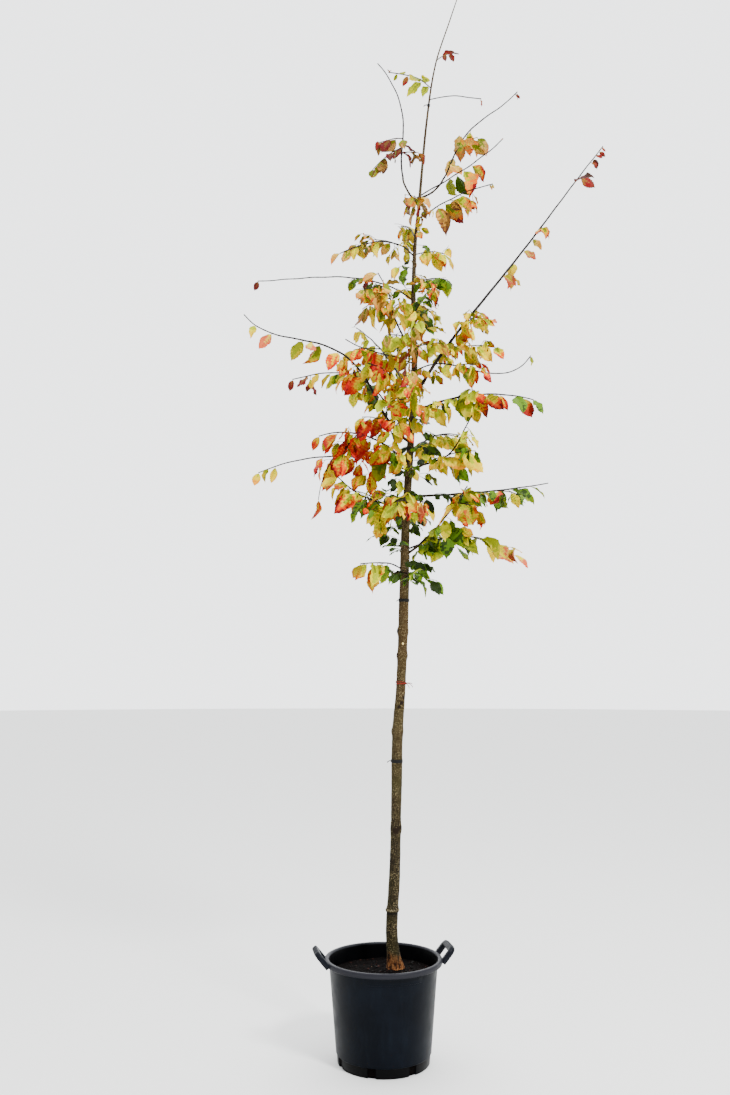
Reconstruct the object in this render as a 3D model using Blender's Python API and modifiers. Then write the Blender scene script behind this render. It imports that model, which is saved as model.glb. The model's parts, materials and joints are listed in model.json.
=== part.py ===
"""A young persian ironwood, a slender tree on one clear stem, in a round nursery pot.

Metres, +Z up. The origin is the centre of the pot's flat underside, -Y is the front and +X the
right. The trunk runs whole from the soil to its tip. Each main bough is one tapering limb, and each
mass of foliage is one solid: a stem, its side twigs and the leaves on them.
"""

import math
import random
from typing import NamedTuple

import bmesh
import bpy
from mathutils import Matrix, Vector
from mathutils.bvhtree import BVHTree

GAP = 0.0003
UP = Vector((0.0, 0.0, 1.0))

POT_HEIGHT = 0.355
POT_RIM_RADIUS = 0.213
POT_SHOULDER_RADIUS = 0.1965
POT_FOOT_RADIUS = 0.1705
POT_BASE_RADIUS = 0.165
POT_WALL = 0.003
POT_FLOOR = 0.004
LIP_DEPTH = 0.018
FOOT_BAND = 0.036
POT_STEPS = 36
DRAIN_COUNT = 7
DRAIN_WIDTH = 0.030
DRAIN_HEIGHT = 0.034
DRAIN_DEPTH = 0.016
FIRST_DRAIN_HEADING = -53.0
HANDLE_HEADINGS = (10.0, 190.0)
HANDLE_RISE = 50.0
HANDLE_REACH = 0.068
HANDLE_SPAN = 0.126
HANDLE_BAR = 0.025
HANDLE_THICKNESS = 0.020
HANDLE_START_RADIUS = 0.207
HANDLE_START_DROP = 0.0153

SOIL_TOP = 0.308
SOIL_EDGE_DROP = 0.007
SOIL_FLAT_RADIUS = 0.100

TRUNK_SIDES_RESOLUTION = 3
TRUNK_STEP = 0.075
TRUNK_FOOT_HEIGHTS = (0.0, 0.012, 0.030, 0.055, 0.090)
TRUNK_STATIONS = (
    # height above the floor, x, y, radius
    (0.308, 0.040, 0.036, 0.0235),
    (0.440, 0.030, 0.033, 0.0212),
    (0.620, 0.041, 0.027, 0.0208),
    (0.760, 0.046, 0.024, 0.0190),
    (0.900, 0.049, 0.020, 0.0195),
    (1.150, 0.055, 0.024, 0.0203),
    (1.340, 0.069, 0.026, 0.0181),
    (1.600, 0.080, 0.020, 0.0190),
    (1.950, 0.090, 0.016, 0.0162),
    (2.300, 0.113, 0.020, 0.0138),
    (2.600, 0.128, 0.025, 0.0120),
    (2.730, 0.124, 0.026, 0.0108),
    (3.050, 0.132, 0.020, 0.0075),
    (3.250, 0.151, 0.024, 0.0062),
    (3.600, 0.184, 0.030, 0.0045),
    (3.850, 0.222, 0.026, 0.0034),
    (4.050, 0.285, 0.020, 0.0026),
    (4.200, 0.334, 0.018, 0.0017),
)
ROOT_LOBES = (
    # heading of a root at the flare, how far it stands out at the soil, its half width in degrees
    (345.0, 0.018, 42.0),
    (205.0, 0.008, 40.0),
    (95.0, 0.010, 45.0),
    (275.0, 0.007, 35.0),
)
FLARE_HEIGHT = 0.030
TRUNK_SWELLINGS = (
    # height, how far the bark swells, half height of the swelling
    (0.511, 0.0030, 0.012),
    (0.802, 0.0018, 0.016),
    (1.155, 0.0022, 0.014),
    (1.440, 0.0022, 0.014),
    (1.530, 0.0026, 0.014),
)
TIES = (
    # node name, height on the trunk
    ("tie_lower", 1.048),
    ("tie_middle", 1.648),
    ("tie_crown_low", 2.235),
    ("tie_crown_middle", 2.625),
    ("tie_leader", 3.675),
)
TIE_HEIGHT = 0.013
TIE_THICKNESS = 0.0022
TWINE_HEIGHT = 1.336
TWINE_RADIUS = 0.0014
TWINE_HEADING = -25.0

LIMB_STEP = 0.055
ZIGZAG = 0.0022
TIP_RADIUS = 0.0021
TWIG_RADIUS = 0.0025
THREE_SIDED = 1.25
TWIG_DROOP = 25.0
TWIG_TURNS_TRIED = (0.0, 18.0, -18.0)
LEAF_WIDTH = 0.60
LEAF_WIDEST = 0.46
LEAF_THICKNESS = 0.0016
ROOT_SUNK = 0.0008
TIP_INSET = 0.004
FOLD = 0.05
DROOP = 0.10
LEAF_TURNS_TRIED = (0.0, 30.0, -30.0, 60.0, -60.0, 90.0, -90.0)
SIZE_SPREAD = (0.80, 1.16)
HANG_SPREAD = (-24.0, 18.0)
SPIN_SPREAD = 38.0
LEAN_AHEAD = (0.25, 0.85)
LEAF_ROOM = 0.004
LIMB_ROOM = 0.003
ROOT_SHARE = 0.25


class Shoot(NamedTuple):
    """One branch of the trunk: headings are degrees from +X seen from above, rises from level."""

    name: str
    height: float
    heading: float
    length: float
    rise: float
    tip_rise: float
    arch: float
    turn: float
    radius: float
    bare: float
    leaves: tuple
    twigs: tuple
    leaf: float
    hang: float
    tint: str
    wave: float = 0.0


# leaves are (from, to, how many, size) along the stem, as shares of its length and of its leaf
# twigs are (place on the stem, turn away from it, rise, length, how many leaves)
SHOOTS = (
    Shoot("low_front", 1.73, 290, 0.19, 15, -5, 0, 0, 0.0028, 0, ((0.2, 1.0, 7, 1.0),), ((0.3, -70,
          10, 0.09, 3),), 0.058, 35, "green"),
    Shoot("low_left", 1.76, 200, 0.18, 40, -5, -15, -10, 0.0030, 0, ((0.35, 1.0, 6, 1.0),), (),
          0.112, 66, "gold"),
    Shoot("low_right", 1.82, -25, 0.36, 28, 56, 5, 10, 0.0048, 0.11, ((0.34, 0.62, 3, 0.9), (0.66,
          0.98, 4, 1.05)), ((0.78, -35, -5, 0.13, 4), (0.42, 40, 10, 0.10, 3)), 0.106, 55, "gold"),
    Shoot("low_right_arch", 1.84, 18, 0.46, 24, -42, 12, -15, 0.0036, 0, ((0.14, 0.58, 6, 0.95),
          (0.64, 1.0, 5, 1.2)), ((0.30, 42, 8, 0.12, 3), (0.50, -38, 0, 0.10, 3)), 0.100, 42,
          "green"),
    Shoot("back_low", 1.92, 82, 0.50, 40, 12, 0, 15, 0.0042, 0, ((0.25, 1.0, 9, 1.0),), ((0.40, 45,
          10, 0.13, 4), (0.60, -45, 5, 0.12, 3)), 0.085, 45, "green"),
    Shoot("front_low", 1.98, 262, 0.30, 22, -28, 0, 0, 0.0028, 0, ((0.16, 1.0, 8, 1.0),), ((0.22,
          -66, 34, 0.15, 5), (0.35, 60, 10, 0.10, 3)), 0.088, 60, "gold"),
    Shoot("left_low", 2.02, 213, 0.31, -14, 48, 0, -25, 0.0042, 0.11, ((0.4, 1.0, 7, 1.0),), ((0.35,
          -40, 38, 0.13, 4), (0.26, 38, -34, 0.11, 4)), 0.108, 65, "gold"),
    Shoot("long_right", 2.05, 14, 0.56, 3, 9, 0, -18, 0.0052, 0.14, ((0.30, 0.50, 3, 0.8), (0.56,
          0.90, 5, 1.25)), ((0.28, -42, 8, 0.11, 3), (0.42, 32, 18, 0.17, 4), (0.60, -35, 0, 0.12,
          3)), 0.088, 45, "green"),
    Shoot("right_fork", 2.14, -30, 0.35, 39, 50, -11, 15, 0.0046, 0.12, ((0.38, 0.80, 5, 1.0),),
          ((0.40, -22, 14, 0.17, 5), (0.36, 48, 5, 0.11, 3)), 0.110, 58, "gold", -24),
    Shoot("left_far", 2.15, 165, 0.62, 26, -24, 0, 15, 0.0040, 0, ((0.34, 0.60, 4, 0.85), (0.86,
          1.0, 3, 0.85)), ((0.50, 30, -58, 0.19, 6),), 0.104, 70, "red"),
    Shoot("left_red", 2.16, 205, 0.40, 52, -20, 0, -15, 0.0045, 0.15, ((0.46, 1.0, 7, 1.0),),
          ((0.62, 35, -40, 0.14, 4), (0.28, -50, -42, 0.13, 4)), 0.108, 76, "red"),
    Shoot("left_rise", 2.18, 245, 0.28, 4, 84, 0, -10, 0.0034, 0, ((0.16, 1.0, 8, 1.0),), ((0.40,
          -70, 10, 0.10, 3), (0.62, 55, 25, 0.10, 4), (0.80, -60, 20, 0.10, 3)), 0.088, 60, "gold"),
    Shoot("back_mid", 2.20, 68, 0.55, 38, 6, 0, -10, 0.0044, 0, ((0.25, 1.0, 10, 1.0),), ((0.35, 45,
          15, 0.14, 4), (0.60, -45, 10, 0.13, 4)), 0.085, 60, "gold"),
    Shoot("left_arch", 2.26, 190, 0.87, 31, 52, -6, -10, 0.0056, 0.22, ((0.34, 0.56, 4, 1.0), (0.60,
          0.72, 3, 1.1), (0.80, 0.97, 2, 1.0)), ((0.40, -45, 10, 0.12, 3),), 0.092, 65, "gold", 32),
    Shoot("left_arch_low", 2.29, 155, 0.62, 43, -14, 21, 20, 0.0040, 0, ((0.34, 1.0, 9, 1.0),),
          ((0.42, -38, 20, 0.12, 3),), 0.086, 62, "gold", 14),
    Shoot("front_mid", 2.30, 276, 0.40, 38, 2, 0, -15, 0.0040, 0, ((0.14, 1.0, 9, 1.0),), ((0.30,
          60, 10, 0.13, 4), (0.40, -60, 10, 0.13, 4)), 0.094, 62, "gold"),
    Shoot("right_mid", 2.38, -15, 0.48, 24, -17, 0, 10, 0.0048, 0.12, ((0.36, 0.78, 4, 1.0), (0.82,
          1.0, 3, 1.35)), ((0.32, 38, 8, 0.12, 4), (0.38, -45, 14, 0.11, 3)), 0.090, 58, "red"),
    Shoot("back_long", 2.42, 112, 0.70, 52, 34, 0, 10, 0.0054, 0.14, ((0.32, 0.98, 10, 1.0),),
          ((0.35, 50, 10, 0.15, 4), (0.45, -50, 10, 0.15, 4), (0.62, 45, 15, 0.12, 3)), 0.082, 65,
          "gold"),
    Shoot("left_front", 2.42, 240, 0.30, 36, 0, 0, -15, 0.0036, 0, ((0.16, 1.0, 9, 1.0),), ((0.40,
          55, 8, 0.12, 4),), 0.094, 64, "gold"),
    Shoot("long_shoot", 2.43, 10, 1.33, 63, 51, -5, -15, 0.0068, 0.24, ((0.20, 0.36, 5, 1.0), (0.46,
          0.66, 4, 0.9), (0.84, 0.90, 2, 1.35), (0.93, 1.0, 5, 0.62)), ((0.19, -28, 10, 0.20, 5),
          (0.20, 70, 22, 0.13, 4), (0.27, -75, 18, 0.12, 4), (0.31, 30, 20, 0.10, 3)), 0.086, 60,
          "gold", -3),
    Shoot("right_thin", 2.55, -20, 0.49, 28, 62, -63, 20, 0.0030, 0, ((0.22, 0.62, 5, 1.0), (0.97,
          1.0, 1, 0.80)), ((0.36, -35, 0, 0.10, 3),), 0.078, 70, "gold"),
    Shoot("front_high", 2.55, 262, 0.35, 42, 0, 0, 15, 0.0036, 0, ((0.14, 1.0, 8, 1.0),), ((0.30,
          60, 10, 0.13, 4), (0.45, -60, 10, 0.12, 4)), 0.096, 66, "bronze"),
    Shoot("left_thin", 2.58, 225, 0.33, 6, 22, -12, -20, 0.0028, 0, ((0.18, 0.75, 5, 1.0),), (),
          0.096, 70, "red"),
    Shoot("left_cluster", 2.65, 230, 0.335, 0, 42, 49, -20, 0.0044, 0.12, ((0.46, 1.0, 7, 1.0),),
          ((0.55, 60, 5, 0.13, 5), (0.68, -55, 5, 0.13, 5), (0.82, 30, -10, 0.12, 4)), 0.098, 74,
          "bronze"),
    Shoot("back_high", 2.75, 80, 0.46, 44, 18, 0, 15, 0.0036, 0, ((0.28, 1.0, 9, 1.0),), ((0.45,
          -50, 15, 0.12, 4),), 0.085, 65, "bronze"),
    Shoot("front_upper", 2.78, 292, 0.23, 30, -10, 0, 0, 0.0028, 0, ((0.30, 1.0, 7, 1.0),), (),
          0.070, 50, "green"),
    Shoot("left_wire", 2.84, 170, 0.66, 43, -3, -16, 10, 0.0030, 0, ((0.22, 0.42, 5, 1.0), (0.98,
          1.0, 1, 1.0)), (), 0.068, 65, "bronze"),
    Shoot("right_high_green", 2.91, -12, 0.14, 22, -20, 0, 0, 0.0024, 0, ((0.35, 1.0, 5, 1.0),), (),
          0.084, 45, "green"),
    Shoot("left_high", 3.02, 200, 0.33, 50, -27, -22, -10, 0.0030, 0, ((0.45, 1.0, 6, 1.0),),
          ((0.25, -40, 34, 0.14, 4),), 0.078, 60, "bronze"),
    Shoot("right_gold", 3.03, 14, 0.13, 25, -10, 0, 0, 0.0024, 0, ((0.40, 1.0, 5, 1.0),), (), 0.098,
          60, "gold"),
    Shoot("back_upper", 3.10, 100, 0.34, 45, 20, 0, 0, 0.0028, 0, ((0.30, 1.0, 7, 1.0),), (), 0.075,
          65, "bronze"),
    Shoot("right_top_low", 3.18, -35, 0.33, 17, 2, 6, 20, 0.0028, 0, ((0.24, 0.62, 4, 1.1), (0.95,
          1.0, 2, 0.35)), (), 0.094, 72, "bronze"),
    Shoot("front_neck", 3.20, 262, 0.16, 25, -25, 0, 0, 0.0026, 0, ((0.40, 1.0, 5, 1.0),), (),
          0.118, 72, "bronze"),
    Shoot("left_top", 3.24, 200, 0.65, 34, 52, 49, -20, 0.0040, 0.18, ((0.35, 0.47, 4, 1.0),),
          ((0.40, -132, -30, 0.17, 6), (0.36, 20, 8, 0.07, 4), (0.46, 109, 8, 0.10, 4)), 0.072, 65,
          "bronze", 12),
    Shoot("right_top_a", 3.27, 15, 0.67, 20, 51, 23, -10, 0.0040, 0.16, ((0.30, 0.62, 6, 1.0),
          (0.97, 1.0, 2, 0.42)), ((0.44, -45, 30, 0.09, 3),), 0.096, 66, "gold", 21),
    Shoot("right_top_b", 3.28, -25, 0.39, 19, 41, -5, 10, 0.0028, 0, ((0.30, 0.64, 4, 1.05), (0.90,
          1.0, 1, 0.3)), (), 0.096, 70, "gold"),
    Shoot("top_right", 3.70, 10, 0.23, 24, 1, -5, 10, 0.0022, 0, ((0.98, 1.0, 1, 1.0),), (), 0.042,
          70, "bronze"),
    Shoot("top_left", 3.75, 190, 0.19, 46, 3, -8, -10, 0.0022, 0, ((0.04, 0.34, 4, 1.45), (0.50,
          1.0, 4, 0.75)), (), 0.058, 28, "bronze"),
    Shoot("leader_tuft", 3.87, 5, 0.08, 50, 5, 0, 0, 0.0019, 0, ((0.30, 1.0, 5, 1.0),), (), 0.050,
          30, "red"),
)

COLOURS = {
    # base colour, roughness
    "pot_plastic": ((0.020, 0.024, 0.030), 0.42),
    "soil": ((0.020, 0.011, 0.007), 0.95),
    "bark": ((0.160, 0.120, 0.075), 0.85),
    "tie_rubber": ((0.010, 0.010, 0.011), 0.60),
    "twine": ((0.600, 0.060, 0.050), 0.80),
    "green": ((0.100, 0.200, 0.020), 0.55),
    "gold": ((0.750, 0.420, 0.030), 0.55),
    "red": ((0.600, 0.060, 0.020), 0.55),
    "bronze": ((0.350, 0.150, 0.045), 0.55),
}


class Leaf(NamedTuple):
    place: Matrix
    length: float


def clear_scene():
    for obj in list(bpy.data.objects):
        bpy.data.objects.remove(obj)


def new_collection(name):
    collection = bpy.data.collections.new(name)
    bpy.context.scene.collection.children.link(collection)
    return collection


def material(name):
    found = bpy.data.materials.get(name)
    if found:
        return found
    colour, roughness = COLOURS[name]
    made = bpy.data.materials.new(name)
    made.use_nodes = True
    shader = made.node_tree.nodes["Principled BSDF"]
    shader.inputs["Base Color"].default_value = (*colour, 1.0)
    shader.inputs["Roughness"].default_value = roughness
    shader.inputs["Metallic"].default_value = 0.0
    return made


def add_object(name, mesh, collection, tint):
    mesh.materials.clear()
    mesh.materials.append(material(tint))
    obj = bpy.data.objects.new(name, mesh)
    collection.objects.link(obj)
    return obj


def evaluated_mesh(obj):
    """The object's shape as a mesh of its own, with its object removed."""
    graph = bpy.context.evaluated_depsgraph_get()
    mesh = bpy.data.meshes.new_from_object(obj.evaluated_get(graph))
    mesh.transform(obj.matrix_world)
    bpy.data.objects.remove(obj)
    return mesh


def mesh_from(bm, name="piece"):
    mesh = bpy.data.meshes.new(name)
    bm.to_mesh(mesh)
    bm.free()
    return mesh


def direction(heading, rise):
    a, b = math.radians(heading), math.radians(rise)
    return Vector((math.cos(b) * math.cos(a), math.cos(b) * math.sin(a), math.sin(b)))


def profile_of_three():
    """A three-cornered outline, which a twig's curve is swept with."""
    curve = bpy.data.curves.new("three_sided_outline", "CURVE")
    spline = curve.splines.new("POLY")
    spline.points.add(2)
    spline.use_cyclic_u = True
    for index, point in enumerate(spline.points):
        angle = math.tau * index / 3
        point.co = (math.cos(angle), math.sin(angle), 0.0, 1.0)
    obj = bpy.data.objects.new("three_sided_outline", curve)
    bpy.context.scene.collection.objects.link(obj)
    obj.hide_render = True
    return obj


def tube(points, radii, resolution=None):
    """A tapering tube: three-sided, or round with 4 + 2 * resolution sides."""
    curve = bpy.data.curves.new("limb", "CURVE")
    curve.dimensions = "3D"
    curve.use_fill_caps = True
    outline = None
    if resolution is None:
        outline = profile_of_three()
        curve.bevel_mode = "OBJECT"
        curve.bevel_object = outline
    else:
        curve.bevel_depth = 1.0
        curve.bevel_resolution = resolution
    spline = curve.splines.new("POLY")
    spline.points.add(len(points) - 1)
    for place, point, radius in zip(spline.points, points, radii):
        place.co = (*point, 1.0)
        place.radius = radius
    obj = bpy.data.objects.new("limb", curve)
    bpy.context.scene.collection.objects.link(obj)
    mesh = evaluated_mesh(obj)
    if outline:
        bpy.data.objects.remove(outline)
    bm = bmesh.new()
    bm.from_mesh(mesh)
    bmesh.ops.remove_doubles(bm, verts=bm.verts, dist=1e-6)
    bmesh.ops.recalc_face_normals(bm, faces=bm.faces)
    bm.to_mesh(mesh)
    bm.free()
    return mesh


def boolean(mesh, others, operation, solver="EXACT"):
    """The mesh joined with, or cut by, the other meshes: only its largest body is kept."""
    helpers = new_collection("helpers")
    for other in others:
        helpers.objects.link(bpy.data.objects.new("helper", other))
    obj = bpy.data.objects.new("base", mesh)
    bpy.context.scene.collection.objects.link(obj)
    modifier = obj.modifiers.new("boolean", "BOOLEAN")
    modifier.operation = operation
    modifier.operand_type = "COLLECTION"
    modifier.collection = helpers
    modifier.solver = solver
    result = evaluated_mesh(obj)
    for helper in list(helpers.objects):
        bpy.data.objects.remove(helper)
    bpy.data.collections.remove(helpers)
    return largest_body(result)


def largest_body(mesh):
    """Drops loose scraps and the skins of sealed hollows."""
    bm = bmesh.new()
    bm.from_mesh(mesh)
    bodies, seen = [], set()
    for start in bm.verts:
        if start in seen:
            continue
        body, edge = [], [start]
        seen.add(start)
        while edge:
            vert = edge.pop()
            body.append(vert)
            for link in vert.link_edges:
                other = link.other_vert(vert)
                if other not in seen:
                    seen.add(other)
                    edge.append(other)
        bodies.append(body)
    bodies.sort(key=len)
    for body in bodies[:-1]:
        bmesh.ops.delete(bm, geom=body, context="VERTS")
    bm.to_mesh(mesh)
    bm.free()
    return mesh


def turned(name, profile, steps):
    """A solid of revolution: the profile runs from the axis, over the top and down the outside."""
    mesh = bpy.data.meshes.new(name)
    edges = [(index, index + 1) for index in range(len(profile) - 1)]
    mesh.from_pydata([(radius, 0.0, height) for radius, height in profile], edges, [])
    obj = bpy.data.objects.new(name, mesh)
    bpy.context.scene.collection.objects.link(obj)
    screw = obj.modifiers.new("turn", "SCREW")
    screw.steps = steps
    screw.render_steps = steps
    screw.use_merge_vertices = True
    screw.merge_threshold = 1e-5
    return evaluated_mesh(obj)


def trunk_at(height):
    """The trunk's centre and radius at a height: a smooth curve through its stations."""
    rows = TRUNK_STATIONS
    last = len(rows) - 2
    index = next((i for i in range(last + 1) if height <= rows[i + 1][0]), last)
    before, low, high, after = (rows[min(max(index + k, 0), last + 1)] for k in (-1, 0, 1, 2))
    span = high[0] - low[0]
    share = min(max((height - low[0]) / span, 0.0), 1.0)
    values = []
    for column in (1, 2, 3):
        start = (high[column] - before[column]) / max(high[0] - before[0], 1e-6) * span
        end = (after[column] - low[column]) / max(after[0] - low[0], 1e-6) * span
        a, b = low[column], high[column]
        values.append(
            a + share * start
            + share**2 * (3 * (b - a) - 2 * start - end)
            + share**3 * (2 * (a - b) + start + end)
        )
    return Vector((values[0], values[1], height)), values[2]


def trunk_path():
    foot, top = TRUNK_STATIONS[0][0], TRUNK_STATIONS[-1][0]
    heights = [foot + rise for rise in TRUNK_FOOT_HEIGHTS]
    steps = round((top - heights[-1]) / TRUNK_STEP)
    spacing = (top - heights[-1]) / steps
    heights += [heights[-1] + spacing * (index + 1) for index in range(steps)]
    centres, radii = [], []
    for height in heights:
        centre, radius = trunk_at(height)
        for place, swell, half in TRUNK_SWELLINGS:
            radius += swell * math.exp(-(((height - place) / (2 * half)) ** 2))
        centres.append(centre)
        radii.append(radius)
    return centres, radii


def trunk_mesh(proud):
    """The trunk with its root flare and flat cut at the soil, its skin moved out by proud."""
    centres, radii = trunk_path()
    mesh = tube(centres, [radius + proud for radius in radii], TRUNK_SIDES_RESOLUTION)
    foot = SOIL_TOP + GAP
    for vert in mesh.vertices:
        height = max(vert.co.z - foot, 0.0)
        if height > 6 * FLARE_HEIGHT:
            continue
        centre, _ = trunk_at(vert.co.z)
        out = Vector((vert.co.x - centre.x, vert.co.y - centre.y, 0.0))
        if out.length > 1e-6:
            heading = math.degrees(math.atan2(out.y, out.x))
            reach = sum(
                stand * math.exp(-((((heading - lobe + 180) % 360 - 180) / half) ** 2))
                for lobe, stand, half in ROOT_LOBES
            )
            vert.co += out.normalized() * reach * math.exp(-height / FLARE_HEIGHT)
        if height < TRUNK_FOOT_HEIGHTS[1] / 2:
            vert.co.z = foot - 10 * proud
    return mesh


def limb_path(start, heading, rise, tip_rise, arch, turn, length, seed, wave=0.0):
    """Points along a limb: its rise goes from rise to tip_rise, and its middle by arch above that.

    A wave bends it up and then down. It turns evenly, with a small zigzag from bud to bud.
    """
    steps = max(3, round(length / LIMB_STEP))
    side = 1 if random.Random(seed).random() < 0.5 else -1
    points, centre = [start.copy()], start.copy()
    for index in range(steps):
        share = (index + 0.5) / steps
        slope = rise + (tip_rise - rise) * share
        slope += arch * math.sin(math.pi * share) + wave * math.sin(math.tau * share)
        ahead = direction(heading + turn * share, slope)
        centre = centre + ahead * (length / steps)
        across = direction(heading + turn * share + 90, 0)
        points.append(centre + across * (side * ZIGZAG * (-1) ** index))
    return points


def shoot_path(shoot):
    start, _ = trunk_at(shoot.height)
    return limb_path(
        start, shoot.heading, shoot.rise, shoot.tip_rise, shoot.arch, shoot.turn, shoot.length,
        shoot.name, shoot.wave,
    )


def tapered(radius, tip, count):
    return [radius + (tip - radius) * index / (count - 1) for index in range(count)]


def point_on(points, share):
    """The place and the heading at a share of a path's length, just short of its tip at 1."""
    lengths = [(b - a).length for a, b in zip(points, points[1:])]
    left = min(share * sum(lengths), sum(lengths) - TIP_INSET)
    for a, b, length in zip(points, points[1:], lengths):
        if left <= length or b is points[-1]:
            return a.lerp(b, min(left / length, 1.0)), (b - a).normalized()
        left -= length
    return points[-1], (points[-1] - points[-2]).normalized()


def split_stem(shoot, points):
    """The bare bough and the stem of its mass, as (points, radii), a hair's breadth apart.

    They part in the middle of the last segment that is wholly bare.
    """
    radii = tapered(shoot.radius, TIP_RADIUS, len(points))
    if not shoot.bare:
        return None, (points, radii)
    step = shoot.length / (len(points) - 1)
    at = math.floor(shoot.bare / step - 0.5)
    middle = points[at].lerp(points[at + 1], 0.5)
    apart = (points[at + 1] - points[at]).normalized() * GAP / 2
    width = (radii[at] + radii[at + 1]) / 2
    return (
        (points[: at + 1] + [middle - apart], radii[: at + 1] + [width]),
        ([middle + apart] + points[at + 1 :], [width] + radii[at + 1 :]),
    )


class Space:
    """The room that the plant's limbs and leaves have taken, as a skin round each of them."""

    def __init__(self):
        self.taken = []

    def add(self, owner, skin):
        self.taken.append((owner, *ball_round(skin), BVHTree.FromPolygons(*skin)))

    def clear(self, skin, owner=None, spared=False):
        """Whether the skin crosses none of the owner's own (spared False) or others' (True)."""
        middle, reach = ball_round(skin)
        tree = BVHTree.FromPolygons(*skin)
        return not any(
            (middle - other).length < reach + size and tree.overlap(taken)
            for name, other, size, taken in self.taken
            if (name == owner) != spared
        )


def ball_round(skin):
    points, _ = skin
    middle = sum(points, Vector()) / len(points)
    return middle, max((point - middle).length for point in points)


def limb_skin(points, radii):
    """A four-sided sleeve round a limb, standing off it on all sides."""
    corners, faces = [], []
    for index, (point, radius) in enumerate(zip(points, radii)):
        ahead = points[min(index + 1, len(points) - 1)] - points[max(index - 1, 0)]
        across = ahead.cross(Vector((0.3, 0.2, 1.0))).normalized() * (radius * THREE_SIDED + LIMB_ROOM)
        over = across.cross(ahead.normalized())
        corners += [point + across, point + over, point - across, point - over]
        if index:
            low, high = 4 * index - 4, 4 * index
            faces += [(low + k, low + (k + 1) % 4, high + (k + 1) % 4, high + k) for k in range(4)]
    return corners, faces


def leaf_skin(place, length, start):
    """A flat diamond round a leaf, from a share of its length to past its tip."""
    outline = [(start, 0.0), (LEAF_WIDEST, 0.54), (1.04, 0.0), (LEAF_WIDEST, -0.54)]
    corners = [blade_point(place, length, along, across, 0.0) for along, across in outline]
    corners += [blade_point(place, length, LEAF_WIDEST, 0.0, side * LEAF_ROOM) for side in (1, -1)]
    faces = [(k, (k + 1) % 4, top) for k in range(4) for top in (4, 5)]
    return corners, faces


def blade_point(place, length, along, across, over):
    """A point of a leaf from its shares along and across the blade, and its height over it."""
    sag = FOLD * 2 * abs(across) - DROOP * along**2
    return place @ Vector((along * length, across * LEAF_WIDTH * length, over + sag * length))


def leaf_place(point, ahead, side, hang, spin, rng):
    """A leaf's own frame: +X runs down its midrib and +Z out of its upper face."""
    across = ahead.cross(UP)
    if across.length < 0.25:
        across = direction(rng.uniform(0, 360), 0)
    across = (across.normalized() * side).normalized()
    lean = math.radians(hang)
    axis = across * math.cos(lean) - UP * math.sin(lean) + ahead * rng.uniform(*LEAN_AHEAD)
    axis.normalize()
    face = UP * math.cos(lean) + across * math.sin(lean)
    width = face.cross(axis).normalized()
    face = axis.cross(width).normalized()
    frame = Matrix((axis, width, face)).transposed().to_4x4()
    twist = Matrix.Rotation(math.radians(spin), 4, "Z")
    return Matrix.Translation(point) @ twist @ frame


def leaf_stations(shoot, stem, twigs):
    """Every place where the rule sets a leaf: (path, share, side, size)."""
    places = []
    for start, end, count, size in shoot.leaves:
        for index in range(count):
            share = start + (end - start) * (index + 0.5) / count
            if end >= 1.0 and index == count - 1:
                share = 1.0
            places.append((stem, share, (-1) ** index, size * (1.0 - 0.35 * share**4)))
    for twig, count in twigs:
        for index in range(count):
            share = (index + 1) / count
            places.append((twig, share, (-1) ** index, 1.0 - 0.25 * share**3))
    return places


def plan_twigs(shoot, stem, space):
    """The side twigs of a mass, each turned until it lies clear or else left out."""
    twigs = []
    for place, turn, rise, length, count in shoot.twigs:
        start, ahead = point_on(stem, place)
        heading = math.degrees(math.atan2(ahead.y, ahead.x)) + turn
        seed = f"{shoot.name} twig {place}"
        for extra in TWIG_TURNS_TRIED:
            points = limb_path(
                start, heading + extra, rise, rise - TWIG_DROOP, 0.0, 0.0, length, seed
            )
            radii = tapered(TWIG_RADIUS, TIP_RADIUS, len(points))
            if space.clear(limb_skin(points[1:], radii[1:]), shoot.name, True):
                space.add(shoot.name, limb_skin(points, radii))
                twigs.append((points, count))
                break
    return twigs


def plan_leaves(shoot, stem, twigs, space):
    """The leaves of a mass, each turned until it lies clear or else left out."""
    leaves = []
    for index, (path, share, side, size) in enumerate(leaf_stations(shoot, stem, twigs)):
        rng = random.Random(f"{shoot.name} leaf {index}")
        point, ahead = point_on(path, share)
        length = shoot.leaf * size * rng.uniform(*SIZE_SPREAD)
        hang = shoot.hang + rng.uniform(*HANG_SPREAD)
        spin = rng.uniform(-SPIN_SPREAD, SPIN_SPREAD)
        for turn in LEAF_TURNS_TRIED:
            place = leaf_place(point, ahead, side, hang, spin + turn, rng)
            whole = leaf_skin(place, length, 0.0)
            blade = leaf_skin(place, length, ROOT_SHARE)
            if space.clear(whole, shoot.name, True) and space.clear(blade, shoot.name):
                space.add(shoot.name, whole)
                leaves.append(Leaf(place, length))
                break
    return leaves


def plan_crown():
    """Every mass of the crown as its stem, side twigs and leaves, each in its own space."""
    space = Space()
    centres, radii = trunk_path()
    space.add("trunk", limb_skin(centres, [radius + TIE_THICKNESS for radius in radii]))
    stems = {shoot.name: shoot_path(shoot) for shoot in SHOOTS}
    for shoot in SHOOTS:
        bough, stem = split_stem(shoot, stems[shoot.name])
        if bough:
            space.add(f"bough_{shoot.name}", limb_skin(*bough))
        space.add(shoot.name, limb_skin(*stem))
    twigs = {shoot.name: plan_twigs(shoot, stems[shoot.name], space) for shoot in SHOOTS}
    return {
        shoot.name: (
            stems[shoot.name],
            twigs[shoot.name],
            plan_leaves(shoot, stems[shoot.name], twigs[shoot.name], space),
        )
        for shoot in SHOOTS
    }


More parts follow.
